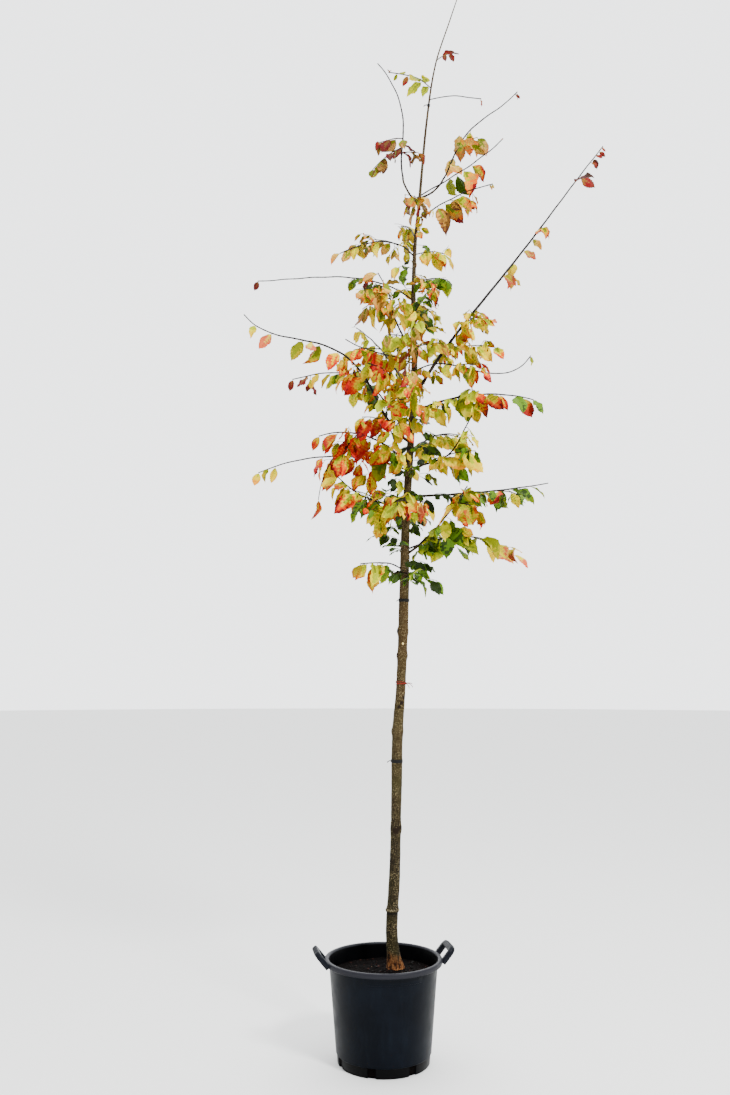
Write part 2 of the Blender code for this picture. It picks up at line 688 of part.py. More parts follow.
def leaf_mesh(leaf):
    """A thin kite of eight faces, folded a little along its midrib and drooping to its tip."""
    bm = bmesh.new()
    bmesh.ops.create_uvsphere(bm, u_segments=4, v_segments=2, radius=1.0)
    for vert in bm.verts:
        x, y, z = (round(value) for value in vert.co)
        along = {-1: -ROOT_SUNK / leaf.length, 0: LEAF_WIDEST, 1: 1.0}[x]
        vert.co = blade_point(leaf.place, leaf.length, along, 0.5 * y, 0.5 * z * LEAF_THICKNESS)
    return mesh_from(bm)


def build_pot(parts):
    lip_low = POT_HEIGHT - LIP_DEPTH
    profile = (
        (0.0, POT_FLOOR),
        (POT_BASE_RADIUS - POT_WALL, POT_FLOOR),
        (POT_FOOT_RADIUS - POT_WALL, FOOT_BAND),
        (POT_SHOULDER_RADIUS - POT_WALL, lip_low),
        (POT_SHOULDER_RADIUS, POT_HEIGHT - 0.003),
        (POT_SHOULDER_RADIUS + 0.005, POT_HEIGHT),
        (POT_RIM_RADIUS - 0.005, POT_HEIGHT),
        (POT_RIM_RADIUS, POT_HEIGHT - 0.005),
        (POT_RIM_RADIUS, lip_low + 0.004),
        (POT_RIM_RADIUS - 0.003, lip_low),
        (POT_SHOULDER_RADIUS, lip_low - 0.002),
        (POT_FOOT_RADIUS, FOOT_BAND),
        (POT_FOOT_RADIUS - 0.003, FOOT_BAND - 0.003),
        (POT_BASE_RADIUS, 0.002),
        (POT_BASE_RADIUS - 0.002, 0.0),
        (0.0, 0.0),
    )
    mesh = turned("pot", profile, POT_STEPS)
    mesh = boolean(mesh, [handle_mesh(heading) for heading in HANDLE_HEADINGS], "UNION")
    mesh = boolean(mesh, [drain_mesh(index) for index in range(DRAIN_COUNT)], "DIFFERENCE")
    add_object("pot", mesh, parts, "pot_plastic")


def handle_mesh(heading):
    """A flat U of two arms and a bar, rising outwards from under the lip."""
    half, bar = HANDLE_SPAN / 2, HANDLE_BAR
    inner = HANDLE_REACH - bar
    outline = (
        (0.0, -half), (HANDLE_REACH - 0.008, -half), (HANDLE_REACH, 0.008 - half),
        (HANDLE_REACH, half - 0.008), (HANDLE_REACH - 0.008, half), (0.0, half),
        (0.0, half - bar), (inner, half - bar), (inner, bar - half), (0.0, bar - half),
    )
    curve = bpy.data.curves.new("handle", "CURVE")
    curve.dimensions = "2D"
    curve.fill_mode = "BOTH"
    curve.extrude = HANDLE_THICKNESS / 2
    spline = curve.splines.new("POLY")
    spline.points.add(len(outline) - 1)
    spline.use_cyclic_u = True
    for point, (out, across) in zip(spline.points, outline):
        point.co = (out, across, 0.0, 1.0)
    obj = bpy.data.objects.new("handle", curve)
    bpy.context.scene.collection.objects.link(obj)
    start = direction(heading, 0) * HANDLE_START_RADIUS + UP * (POT_HEIGHT - HANDLE_START_DROP)
    tilt = Matrix.Rotation(-math.radians(HANDLE_RISE), 4, "Y")
    obj.matrix_world = (
        Matrix.Translation(start) @ Matrix.Rotation(math.radians(heading), 4, "Z") @ tilt
    )
    bpy.context.view_layer.update()
    mesh = evaluated_mesh(obj)
    bm = bmesh.new()
    bm.from_mesh(mesh)
    bmesh.ops.remove_doubles(bm, verts=bm.verts, dist=1e-6)
    bmesh.ops.recalc_face_normals(bm, faces=bm.faces)
    bm.to_mesh(mesh)
    bm.free()
    return mesh


def drain_mesh(index):
    """The box that cuts one drainage slot through the wall at the pot's foot."""
    heading = FIRST_DRAIN_HEADING + 360 * index / DRAIN_COUNT
    bm = bmesh.new()
    bmesh.ops.create_cube(bm, size=1.0)
    middle = direction(heading, 0) * POT_BASE_RADIUS + UP * (DRAIN_HEIGHT / 2 - 0.001)
    turn = Matrix.Rotation(math.radians(heading), 4, "Z")
    size = Matrix.Diagonal((DRAIN_DEPTH, DRAIN_WIDTH, DRAIN_HEIGHT + 0.002, 1.0))
    bmesh.ops.transform(bm, matrix=Matrix.Translation(middle) @ turn @ size, verts=bm.verts)
    return mesh_from(bm)


def build_soil(parts):
    slope = (POT_SHOULDER_RADIUS - POT_FOOT_RADIUS) / (POT_HEIGHT - LIP_DEPTH - FOOT_BAND)
    edge_height = SOIL_TOP - SOIL_EDGE_DROP
    wall = 3 * GAP + POT_WALL
    profile = (
        (0.0, SOIL_TOP),
        (SOIL_FLAT_RADIUS, SOIL_TOP),
        (POT_FOOT_RADIUS - wall + slope * (edge_height - FOOT_BAND), edge_height),
        (POT_FOOT_RADIUS - wall, FOOT_BAND + GAP),
        (POT_BASE_RADIUS - wall, POT_FLOOR + GAP),
        (0.0, POT_FLOOR + GAP),
    )
    add_object("soil", turned("soil", profile, POT_STEPS), parts, "soil")


def build_trunk(parts):
    add_object("trunk", trunk_mesh(0.0), parts, "bark")


def tilted_to_trunk(height):
    below, above = trunk_at(height - 0.02)[0], trunk_at(height + 0.02)[0]
    turn = UP.rotation_difference(above - below).to_matrix().to_4x4()
    return Matrix.Translation(trunk_at(height)[0]) @ turn


def build_ties(parts, clearance):
    """Flat rubber bands, snug round the stem."""
    for name, height in TIES:
        radius = trunk_at(height)[1] + TIE_THICKNESS
        bm = bmesh.new()
        bmesh.ops.create_cone(
            bm, cap_ends=True, segments=14, radius1=radius, radius2=radius, depth=TIE_HEIGHT,
            matrix=tilted_to_trunk(height),
        )
        mesh = boolean(mesh_from(bm), [clearance.copy()], "DIFFERENCE")
        add_object(name, mesh, parts, "tie_rubber")


def build_twine(parts, clearance):
    """A loop of twine round the stem, its knot, and two loose ends."""
    frame = tilted_to_trunk(TWINE_HEIGHT)
    radius = trunk_at(TWINE_HEIGHT)[1] + TWINE_RADIUS
    count = 16
    loop = [
        frame @ (direction(360 * index / count + TWINE_HEADING, 0) * radius)
        for index in range(count)
    ]
    curve_points = loop + loop[:1]
    knot = loop[0]
    ends = []
    for turn, rise in ((-18.0, -25.0), (22.0, -55.0)):
        points = limb_path(knot, TWINE_HEADING + turn, 15.0, rise, 0.0, 0.0, 0.034, f"end {turn}")
        ends.append(tube(points, tapered(TWINE_RADIUS, TWINE_RADIUS * 0.7, len(points)), 0))
    bm = bmesh.new()
    bmesh.ops.create_uvsphere(
        bm, u_segments=6, v_segments=4, radius=0.0034, matrix=Matrix.Translation(knot)
    )
    band = tube(curve_points, [TWINE_RADIUS] * len(curve_points), 0)
    mesh = boolean(mesh_from(bm), [band, *ends], "UNION")
    mesh = boolean(mesh, [clearance.copy()], "DIFFERENCE")
    add_object("twine", mesh, parts, "twine")


def build_bough(shoot, bough, parts, clearance):
    """The bare limb, from the trunk's bark to where its mass of foliage starts."""
    mesh = boolean(tube(*bough, 1), [clearance.copy()], "DIFFERENCE")
    add_object(f"bough_{shoot.name}", mesh, parts, "bark")


def build_mass(shoot, stem, twigs, leaves, parts, clearance):
    """One mass of foliage: its stem, side twigs and leaves, joined into one solid."""
    pieces = [three_sided(twig, tapered(TWIG_RADIUS, TIP_RADIUS, len(twig))) for twig, _ in twigs]
    pieces += [leaf_mesh(leaf) for leaf in leaves]
    mesh = boolean(three_sided(*stem), pieces, "UNION", "MANIFOLD")
    if not shoot.bare:
        mesh = boolean(mesh, [clearance.copy()], "DIFFERENCE")
    add_object(f"foliage_{shoot.name}", mesh, parts, shoot.tint)


def three_sided(points, radii):
    return tube(points, [radius * THREE_SIDED for radius in radii])


def main():
    clear_scene()
    parts = new_collection("persian_ironwood")
    clearance = trunk_mesh(GAP)
    build_pot(parts)
    build_soil(parts)
    build_trunk(parts)
    build_ties(parts, clearance)
    build_twine(parts, clearance)
    crown = plan_crown()
    for shoot in SHOOTS:
        points, twigs, leaves = crown[shoot.name]
        bough, stem = split_stem(shoot, points)
        if bough:
            build_bough(shoot, bough, parts, clearance)
        build_mass(shoot, stem, twigs, leaves, parts, clearance)
    for obj in parts.objects:
        obj.data.shade_smooth()
        obj.data.set_sharp_from_angle(angle=math.radians(35))


main()
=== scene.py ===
"""The looks of a young persian ironwood in a nursery pot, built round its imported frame.

Metres, +Z up, in the frame's own coordinates: the origin is the centre of the pot's flat underside,
-Y is the front and +X the right. The shoots grow by the rule and the named sizes of the solids, and
are carried on to finer twigs and more leaves within the same reach. Each leaf is a thin closed blade
with pleats between its side veins, and its autumn tints are plain colours dealt out by spray.
"""

import json
import math
import random
from typing import NamedTuple

import bmesh
import bpy
import numpy as np
from mathutils import Matrix, Vector, noise
from mathutils.bvhtree import BVHTree

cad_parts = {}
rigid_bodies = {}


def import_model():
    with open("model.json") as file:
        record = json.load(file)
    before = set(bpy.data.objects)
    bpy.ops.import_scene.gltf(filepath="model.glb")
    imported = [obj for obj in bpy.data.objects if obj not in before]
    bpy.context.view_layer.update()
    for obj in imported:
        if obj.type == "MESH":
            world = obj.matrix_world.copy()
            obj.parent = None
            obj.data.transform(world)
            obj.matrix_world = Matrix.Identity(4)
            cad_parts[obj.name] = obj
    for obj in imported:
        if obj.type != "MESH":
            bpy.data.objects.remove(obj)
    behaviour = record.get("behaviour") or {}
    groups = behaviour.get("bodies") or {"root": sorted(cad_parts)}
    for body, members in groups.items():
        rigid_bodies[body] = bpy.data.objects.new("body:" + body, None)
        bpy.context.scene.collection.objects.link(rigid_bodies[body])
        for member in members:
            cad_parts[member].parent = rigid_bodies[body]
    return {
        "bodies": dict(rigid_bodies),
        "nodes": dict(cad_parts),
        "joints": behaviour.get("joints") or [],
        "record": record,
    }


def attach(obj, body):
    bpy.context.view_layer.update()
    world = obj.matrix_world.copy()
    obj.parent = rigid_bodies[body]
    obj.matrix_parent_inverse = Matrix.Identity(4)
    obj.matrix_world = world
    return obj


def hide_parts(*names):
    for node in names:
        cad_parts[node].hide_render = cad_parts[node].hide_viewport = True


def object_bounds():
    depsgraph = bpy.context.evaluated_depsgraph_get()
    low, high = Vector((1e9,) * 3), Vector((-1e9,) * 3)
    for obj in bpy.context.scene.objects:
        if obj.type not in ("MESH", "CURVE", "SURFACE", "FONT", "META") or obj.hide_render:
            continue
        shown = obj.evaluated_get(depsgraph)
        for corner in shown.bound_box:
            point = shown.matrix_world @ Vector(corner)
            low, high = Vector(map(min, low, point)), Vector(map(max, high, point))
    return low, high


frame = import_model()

cad_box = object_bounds()

GAP = 0.0003
UP = Vector((0.0, 0.0, 1.0))
POT_HEIGHT = 0.355
POT_RIM_RADIUS = 0.213
POT_SHOULDER_RADIUS = 0.1965
POT_FOOT_RADIUS = 0.1705
POT_BASE_RADIUS = 0.165
POT_WALL = 0.003
POT_FLOOR = 0.004
LIP_DEPTH = 0.018
FOOT_BAND = 0.036
DRAIN_COUNT = 7
DRAIN_WIDTH = 0.030
DRAIN_HEIGHT = 0.034
DRAIN_DEPTH = 0.016
FIRST_DRAIN_HEADING = -53.0
HANDLE_HEADINGS = (10.0, 190.0)
HANDLE_RISE = 50.0
HANDLE_REACH = 0.068
HANDLE_SPAN = 0.126
HANDLE_BAR = 0.025
HANDLE_THICKNESS = 0.020
HANDLE_START_RADIUS = 0.207
HANDLE_START_DROP = 0.0153
SOIL_TOP = 0.308
SOIL_EDGE_DROP = 0.007
SOIL_FLAT_RADIUS = 0.100
TRUNK_STEP = 0.075
TRUNK_FOOT_HEIGHTS = (0.0, 0.012, 0.030, 0.055, 0.090)
TRUNK_STATIONS = (
    # height above the floor, x, y, radius
    (0.308, 0.040, 0.036, 0.0235),
    (0.440, 0.030, 0.033, 0.0212),
    (0.620, 0.041, 0.027, 0.0208),
    (0.760, 0.046, 0.024, 0.0190),
    (0.900, 0.049, 0.020, 0.0195),
    (1.150, 0.055, 0.024, 0.0203),
    (1.340, 0.069, 0.026, 0.0181),
    (1.600, 0.080, 0.020, 0.0190),
    (1.950, 0.090, 0.016, 0.0162),
    (2.300, 0.113, 0.020, 0.0138),
    (2.600, 0.128, 0.025, 0.0120),
    (2.730, 0.124, 0.026, 0.0108),
    (3.050, 0.132, 0.020, 0.0075),
    (3.250, 0.151, 0.024, 0.0062),
    (3.600, 0.184, 0.030, 0.0045),
    (3.850, 0.222, 0.026, 0.0034),
    (4.050, 0.285, 0.020, 0.0026),
    (4.200, 0.334, 0.018, 0.0017),
)
ROOT_LOBES = (
    # heading of a root at the flare, how far it stands out at the soil, its half width in degrees
    (345.0, 0.018, 42.0),
    (205.0, 0.008, 40.0),
    (95.0, 0.010, 45.0),
    (275.0, 0.007, 35.0),
)
FLARE_HEIGHT = 0.030
TRUNK_SWELLINGS = (
    # height, how far the bark swells, half height of the swelling
    (0.511, 0.0030, 0.012),
    (0.802, 0.0018, 0.016),
    (1.155, 0.0022, 0.014),
    (1.440, 0.0022, 0.014),
    (1.530, 0.0026, 0.014),
)
TIES = (
    # node name, height on the trunk
    ("tie_lower", 1.048),
    ("tie_middle", 1.648),
    ("tie_crown_low", 2.235),
    ("tie_crown_middle", 2.625),
    ("tie_leader", 3.675),
)
TIE_HEIGHT = 0.013
TIE_THICKNESS = 0.0022
TWINE_HEIGHT = 1.336
TWINE_RADIUS = 0.0014
TWINE_HEADING = -25.0
LIMB_STEP = 0.055
ZIGZAG = 0.0022
TIP_RADIUS = 0.0021
TWIG_RADIUS = 0.0025
THREE_SIDED = 1.25
TWIG_DROOP = 25.0
TWIG_TURNS_TRIED = (0.0, 18.0, -18.0)
LEAF_WIDTH = 0.60
LEAF_WIDEST = 0.46
TIP_INSET = 0.004
FOLD = 0.05
DROOP = 0.10
LEAF_TURNS_TRIED = (0.0, 30.0, -30.0, 60.0, -60.0, 90.0, -90.0)
SIZE_SPREAD = (0.80, 1.16)
HANG_SPREAD = (-24.0, 18.0)
SPIN_SPREAD = 38.0
LEAN_AHEAD = (0.25, 0.85)
LEAF_ROOM = 0.004
LIMB_ROOM = 0.003
ROOT_SHARE = 0.25


class Shoot(NamedTuple):
    """One branch of the trunk: headings are degrees from +X seen from above, rises from level."""

    name: str
    height: float
    heading: float
    length: float
    rise: float
    tip_rise: float
    arch: float
    turn: float
    radius: float
    bare: float
    leaves: tuple
    twigs: tuple
    leaf: float
    hang: float
    tint: str
    wave: float = 0.0


# leaves are (from, to, how many, size) along the stem, as shares of its length and of its leaf
# twigs are (place on the stem, turn away from it, rise, length, how many leaves)
SHOOTS = (
    Shoot("low_front", 1.73, 290, 0.19, 15, -5, 0, 0, 0.0028, 0, ((0.2, 1.0, 7, 1.0),), ((0.3, -70,
          10, 0.09, 3),), 0.058, 35, "green"),
    Shoot("low_left", 1.76, 200, 0.18, 40, -5, -15, -10, 0.0030, 0, ((0.35, 1.0, 6, 1.0),), (),
          0.112, 66, "gold"),
    Shoot("low_right", 1.82, -25, 0.36, 28, 56, 5, 10, 0.0048, 0.11, ((0.34, 0.62, 3, 0.9), (0.66,
          0.98, 4, 1.05)), ((0.78, -35, -5, 0.13, 4), (0.42, 40, 10, 0.10, 3)), 0.106, 55, "gold"),
    Shoot("low_right_arch", 1.84, 18, 0.46, 24, -42, 12, -15, 0.0036, 0, ((0.14, 0.58, 6, 0.95),
          (0.64, 1.0, 5, 1.2)), ((0.30, 42, 8, 0.12, 3), (0.50, -38, 0, 0.10, 3)), 0.100, 42,
          "green"),
    Shoot("back_low", 1.92, 82, 0.50, 40, 12, 0, 15, 0.0042, 0, ((0.25, 1.0, 9, 1.0),), ((0.40, 45,
          10, 0.13, 4), (0.60, -45, 5, 0.12, 3)), 0.085, 45, "green"),
    Shoot("front_low", 1.98, 262, 0.30, 22, -28, 0, 0, 0.0028, 0, ((0.16, 1.0, 8, 1.0),), ((0.22,
          -66, 34, 0.15, 5), (0.35, 60, 10, 0.10, 3)), 0.088, 60, "gold"),
    Shoot("left_low", 2.02, 213, 0.31, -14, 48, 0, -25, 0.0042, 0.11, ((0.4, 1.0, 7, 1.0),), ((0.35,
          -40, 38, 0.13, 4), (0.26, 38, -34, 0.11, 4)), 0.108, 65, "gold"),
    Shoot("long_right", 2.05, 14, 0.56, 3, 9, 0, -18, 0.0052, 0.14, ((0.30, 0.50, 3, 0.8), (0.56,
          0.90, 5, 1.25)), ((0.28, -42, 8, 0.11, 3), (0.42, 32, 18, 0.17, 4), (0.60, -35, 0, 0.12,
          3)), 0.088, 45, "green"),
    Shoot("right_fork", 2.14, -30, 0.35, 39, 50, -11, 15, 0.0046, 0.12, ((0.38, 0.80, 5, 1.0),),
          ((0.40, -22, 14, 0.17, 5), (0.36, 48, 5, 0.11, 3)), 0.110, 58, "gold", -24),
    Shoot("left_far", 2.15, 165, 0.62, 26, -24, 0, 15, 0.0040, 0, ((0.34, 0.60, 4, 0.85), (0.86,
          1.0, 3, 0.85)), ((0.50, 30, -58, 0.19, 6),), 0.104, 70, "red"),
    Shoot("left_red", 2.16, 205, 0.40, 52, -20, 0, -15, 0.0045, 0.15, ((0.46, 1.0, 7, 1.0),),
          ((0.62, 35, -40, 0.14, 4), (0.28, -50, -42, 0.13, 4)), 0.108, 76, "red"),
    Shoot("left_rise", 2.18, 245, 0.28, 4, 84, 0, -10, 0.0034, 0, ((0.16, 1.0, 8, 1.0),), ((0.40,
          -70, 10, 0.10, 3), (0.62, 55, 25, 0.10, 4), (0.80, -60, 20, 0.10, 3)), 0.088, 60, "gold"),
    Shoot("back_mid", 2.20, 68, 0.55, 38, 6, 0, -10, 0.0044, 0, ((0.25, 1.0, 10, 1.0),), ((0.35, 45,
          15, 0.14, 4), (0.60, -45, 10, 0.13, 4)), 0.085, 60, "gold"),
    Shoot("left_arch", 2.26, 190, 0.87, 31, 52, -6, -10, 0.0056, 0.22, ((0.34, 0.56, 4, 1.0), (0.60,
          0.72, 3, 1.1), (0.80, 0.97, 2, 1.0)), ((0.40, -45, 10, 0.12, 3),), 0.092, 65, "gold", 32),
    Shoot("left_arch_low", 2.29, 155, 0.62, 43, -14, 21, 20, 0.0040, 0, ((0.34, 1.0, 9, 1.0),),
          ((0.42, -38, 20, 0.12, 3),), 0.086, 62, "gold", 14),
    Shoot("front_mid", 2.30, 276, 0.40, 38, 2, 0, -15, 0.0040, 0, ((0.14, 1.0, 9, 1.0),), ((0.30,
          60, 10, 0.13, 4), (0.40, -60, 10, 0.13, 4)), 0.094, 62, "gold"),
    Shoot("right_mid", 2.38, -15, 0.48, 24, -17, 0, 10, 0.0048, 0.12, ((0.36, 0.78, 4, 1.0), (0.82,
          1.0, 3, 1.35)), ((0.32, 38, 8, 0.12, 4), (0.38, -45, 14, 0.11, 3)), 0.090, 58, "red"),
    Shoot("back_long", 2.42, 112, 0.70, 52, 34, 0, 10, 0.0054, 0.14, ((0.32, 0.98, 10, 1.0),),
          ((0.35, 50, 10, 0.15, 4), (0.45, -50, 10, 0.15, 4), (0.62, 45, 15, 0.12, 3)), 0.082, 65,
          "gold"),
    Shoot("left_front", 2.42, 240, 0.30, 36, 0, 0, -15, 0.0036, 0, ((0.16, 1.0, 9, 1.0),), ((0.40,
          55, 8, 0.12, 4),), 0.094, 64, "gold"),
    Shoot("long_shoot", 2.43, 10, 1.33, 63, 51, -5, -15, 0.0068, 0.24, ((0.20, 0.36, 5, 1.0), (0.46,
          0.66, 4, 0.9), (0.84, 0.90, 2, 1.35), (0.93, 1.0, 5, 0.62)), ((0.19, -28, 10, 0.20, 5),
          (0.20, 70, 22, 0.13, 4), (0.27, -75, 18, 0.12, 4), (0.31, 30, 20, 0.10, 3)), 0.086, 60,
          "gold", -3),
    Shoot("right_thin", 2.55, -20, 0.49, 28, 62, -63, 20, 0.0030, 0, ((0.22, 0.62, 5, 1.0), (0.97,
          1.0, 1, 0.80)), ((0.36, -35, 0, 0.10, 3),), 0.078, 70, "gold"),
    Shoot("front_high", 2.55, 262, 0.35, 42, 0, 0, 15, 0.0036, 0, ((0.14, 1.0, 8, 1.0),), ((0.30,
          60, 10, 0.13, 4), (0.45, -60, 10, 0.12, 4)), 0.096, 66, "bronze"),
    Shoot("left_thin", 2.58, 225, 0.33, 6, 22, -12, -20, 0.0028, 0, ((0.18, 0.75, 5, 1.0),), (),
          0.096, 70, "red"),
    Shoot("left_cluster", 2.65, 230, 0.335, 0, 42, 49, -20, 0.0044, 0.12, ((0.46, 1.0, 7, 1.0),),
          ((0.55, 60, 5, 0.13, 5), (0.68, -55, 5, 0.13, 5), (0.82, 30, -10, 0.12, 4)), 0.098, 74,
          "bronze"),
    Shoot("back_high", 2.75, 80, 0.46, 44, 18, 0, 15, 0.0036, 0, ((0.28, 1.0, 9, 1.0),), ((0.45,
          -50, 15, 0.12, 4),), 0.085, 65, "bronze"),
    Shoot("front_upper", 2.78, 292, 0.23, 30, -10, 0, 0, 0.0028, 0, ((0.30, 1.0, 7, 1.0),), (),
          0.070, 50, "green"),
    Shoot("left_wire", 2.84, 170, 0.66, 43, -3, -16, 10, 0.0030, 0, ((0.22, 0.42, 5, 1.0), (0.98,
          1.0, 1, 1.0)), (), 0.068, 65, "bronze"),
    Shoot("right_high_green", 2.91, -12, 0.14, 22, -20, 0, 0, 0.0024, 0, ((0.35, 1.0, 5, 1.0),), (),
          0.084, 45, "green"),
    Shoot("left_high", 3.02, 200, 0.33, 50, -27, -22, -10, 0.0030, 0, ((0.45, 1.0, 6, 1.0),),
          ((0.25, -40, 34, 0.14, 4),), 0.078, 60, "bronze"),
    Shoot("right_gold", 3.03, 14, 0.13, 25, -10, 0, 0, 0.0024, 0, ((0.40, 1.0, 5, 1.0),), (), 0.098,
          60, "gold"),
    Shoot("back_upper", 3.10, 100, 0.34, 45, 20, 0, 0, 0.0028, 0, ((0.30, 1.0, 7, 1.0),), (), 0.075,
          65, "bronze"),
    Shoot("right_top_low", 3.18, -35, 0.33, 17, 2, 6, 20, 0.0028, 0, ((0.24, 0.62, 4, 1.1), (0.95,
          1.0, 2, 0.35)), (), 0.094, 72, "bronze"),
    Shoot("front_neck", 3.20, 262, 0.16, 25, -25, 0, 0, 0.0026, 0, ((0.40, 1.0, 5, 1.0),), (),
          0.118, 72, "bronze"),
    Shoot("left_top", 3.24, 200, 0.65, 34, 52, 49, -20, 0.0040, 0.18, ((0.35, 0.47, 4, 1.0),),
          ((0.40, -132, -30, 0.17, 6), (0.36, 20, 8, 0.07, 4), (0.46, 109, 8, 0.10, 4)), 0.072, 65,
          "bronze", 12),
    Shoot("right_top_a", 3.27, 15, 0.67, 20, 51, 23, -10, 0.0040, 0.16, ((0.30, 0.62, 6, 1.0),
          (0.97, 1.0, 2, 0.42)), ((0.44, -45, 30, 0.09, 3),), 0.096, 66, "gold", 21),
    Shoot("right_top_b", 3.28, -25, 0.39, 19, 41, -5, 10, 0.0028, 0, ((0.30, 0.64, 4, 1.05), (0.90,
          1.0, 1, 0.3)), (), 0.096, 70, "gold"),
    Shoot("top_right", 3.70, 10, 0.23, 24, 1, -5, 10, 0.0022, 0, ((0.98, 1.0, 1, 1.0),), (), 0.042,
          70, "bronze"),
    Shoot("top_left", 3.75, 190, 0.19, 46, 3, -8, -10, 0.0022, 0, ((0.04, 0.34, 4, 1.45), (0.50,
          1.0, 4, 0.75)), (), 0.058, 28, "bronze"),
    Shoot("leader_tuft", 3.87, 5, 0.08, 50, 5, 0, 0, 0.0019, 0, ((0.30, 1.0, 5, 1.0),), (), 0.050,
          30, "red"),
)


class Leaf(NamedTuple):
    place: Matrix
    length: float


class Space:
    """The room that the plant's limbs and leaves have taken, as a skin round each of them."""

    def __init__(self):
        self.taken = []

    def add(self, owner, skin):
        self.taken.append((owner, *ball_round(skin), BVHTree.FromPolygons(*skin)))

    def clear(self, skin, owner=None, spared=False):
        """Whether the skin crosses none of the owner's own (spared False) or others' (True)."""
        middle, reach = ball_round(skin)
        tree = BVHTree.FromPolygons(*skin)
        return not any(
            (middle - other).length < reach + size and tree.overlap(taken)
            for name, other, size, taken in self.taken
            if (name == owner) != spared
        )


def direction(heading, rise):
    a, b = math.radians(heading), math.radians(rise)
    return Vector((math.cos(b) * math.cos(a), math.cos(b) * math.sin(a), math.sin(b)))


def trunk_at(height):
    """The trunk's centre and radius at a height: a smooth curve through its stations."""
    rows = TRUNK_STATIONS
    last = len(rows) - 2
    index = next((i for i in range(last + 1) if height <= rows[i + 1][0]), last)
    before, low, high, after = (rows[min(max(index + k, 0), last + 1)] for k in (-1, 0, 1, 2))
    span = high[0] - low[0]
    share = min(max((height - low[0]) / span, 0.0), 1.0)
    values = []
    for column in (1, 2, 3):
        start = (high[column] - before[column]) / max(high[0] - before[0], 1e-6) * span
        end = (after[column] - low[column]) / max(after[0] - low[0], 1e-6) * span
        a, b = low[column], high[column]
        values.append(
            a + share * start
            + share**2 * (3 * (b - a) - 2 * start - end)
            + share**3 * (2 * (a - b) + start + end)
        )
    return Vector((values[0], values[1], height)), values[2]


def trunk_path():
    foot, top = TRUNK_STATIONS[0][0], TRUNK_STATIONS[-1][0]
    heights = [foot + rise for rise in TRUNK_FOOT_HEIGHTS]
    steps = round((top - heights[-1]) / TRUNK_STEP)
    spacing = (top - heights[-1]) / steps
    heights += [heights[-1] + spacing * (index + 1) for index in range(steps)]
    centres, radii = [], []
    for height in heights:
        centre, radius = trunk_at(height)
        for place, swell, half in TRUNK_SWELLINGS:
            radius += swell * math.exp(-(((height - place) / (2 * half)) ** 2))
        centres.append(centre)
        radii.append(radius)
    return centres, radii


def limb_path(start, heading, rise, tip_rise, arch, turn, length, seed, wave=0.0):
    """Points along a limb: its rise goes from rise to tip_rise, and its middle by arch above that.

    A wave bends it up and then down. It turns evenly, with a small zigzag from bud to bud.
    """
    steps = max(3, round(length / LIMB_STEP))
    side = 1 if random.Random(seed).random() < 0.5 else -1
    points, centre = [start.copy()], start.copy()
    for index in range(steps):
        share = (index + 0.5) / steps
        slope = rise + (tip_rise - rise) * share
        slope += arch * math.sin(math.pi * share) + wave * math.sin(math.tau * share)
        ahead = direction(heading + turn * share, slope)
        centre = centre + ahead * (length / steps)
        across = direction(heading + turn * share + 90, 0)
        points.append(centre + across * (side * ZIGZAG * (-1) ** index))
    return points


def shoot_path(shoot):
    start, _ = trunk_at(shoot.height)
    return limb_path(
        start, shoot.heading, shoot.rise, shoot.tip_rise, shoot.arch, shoot.turn, shoot.length,
        shoot.name, shoot.wave,
    )


def tapered(radius, tip, count):
    return [radius + (tip - radius) * index / (count - 1) for index in range(count)]


def point_on(points, share):
    """The place and the heading at a share of a path's length, just short of its tip at 1."""
    lengths = [(b - a).length for a, b in zip(points, points[1:])]
    left = min(share * sum(lengths), sum(lengths) - TIP_INSET)
    for a, b, length in zip(points, points[1:], lengths):
        if left <= length or b is points[-1]:
            return a.lerp(b, min(left / length, 1.0)), (b - a).normalized()
        left -= length
    return points[-1], (points[-1] - points[-2]).normalized()


def split_stem(shoot, points):
    """The bare bough and the stem of its mass, as (points, radii), a hair's breadth apart.

    They part in the middle of the last segment that is wholly bare.
    """
    radii = tapered(shoot.radius, TIP_RADIUS, len(points))
    if not shoot.bare:
        return None, (points, radii)
    step = shoot.length / (len(points) - 1)
    at = math.floor(shoot.bare / step - 0.5)
    middle = points[at].lerp(points[at + 1], 0.5)
    apart = (points[at + 1] - points[at]).normalized() * GAP / 2
    width = (radii[at] + radii[at + 1]) / 2
    return (
        (points[: at + 1] + [middle - apart], radii[: at + 1] + [width]),
        ([middle + apart] + points[at + 1 :], [width] + radii[at + 1 :]),
    )


def ball_round(skin):
    points, _ = skin
    middle = sum(points, Vector()) / len(points)
    return middle, max((point - middle).length for point in points)


def limb_skin(points, radii):
    """A four-sided sleeve round a limb, standing off it on all sides."""
    corners, faces = [], []
    for index, (point, radius) in enumerate(zip(points, radii)):
        ahead = points[min(index + 1, len(points) - 1)] - points[max(index - 1, 0)]
        across = ahead.cross(Vector((0.3, 0.2, 1.0))).normalized() * (radius * THREE_SIDED + LIMB_ROOM)
        over = across.cross(ahead.normalized())
        corners += [point + across, point + over, point - across, point - over]
        if index:
            low, high = 4 * index - 4, 4 * index
            faces += [(low + k, low + (k + 1) % 4, high + (k + 1) % 4, high + k) for k in range(4)]
    return corners, faces


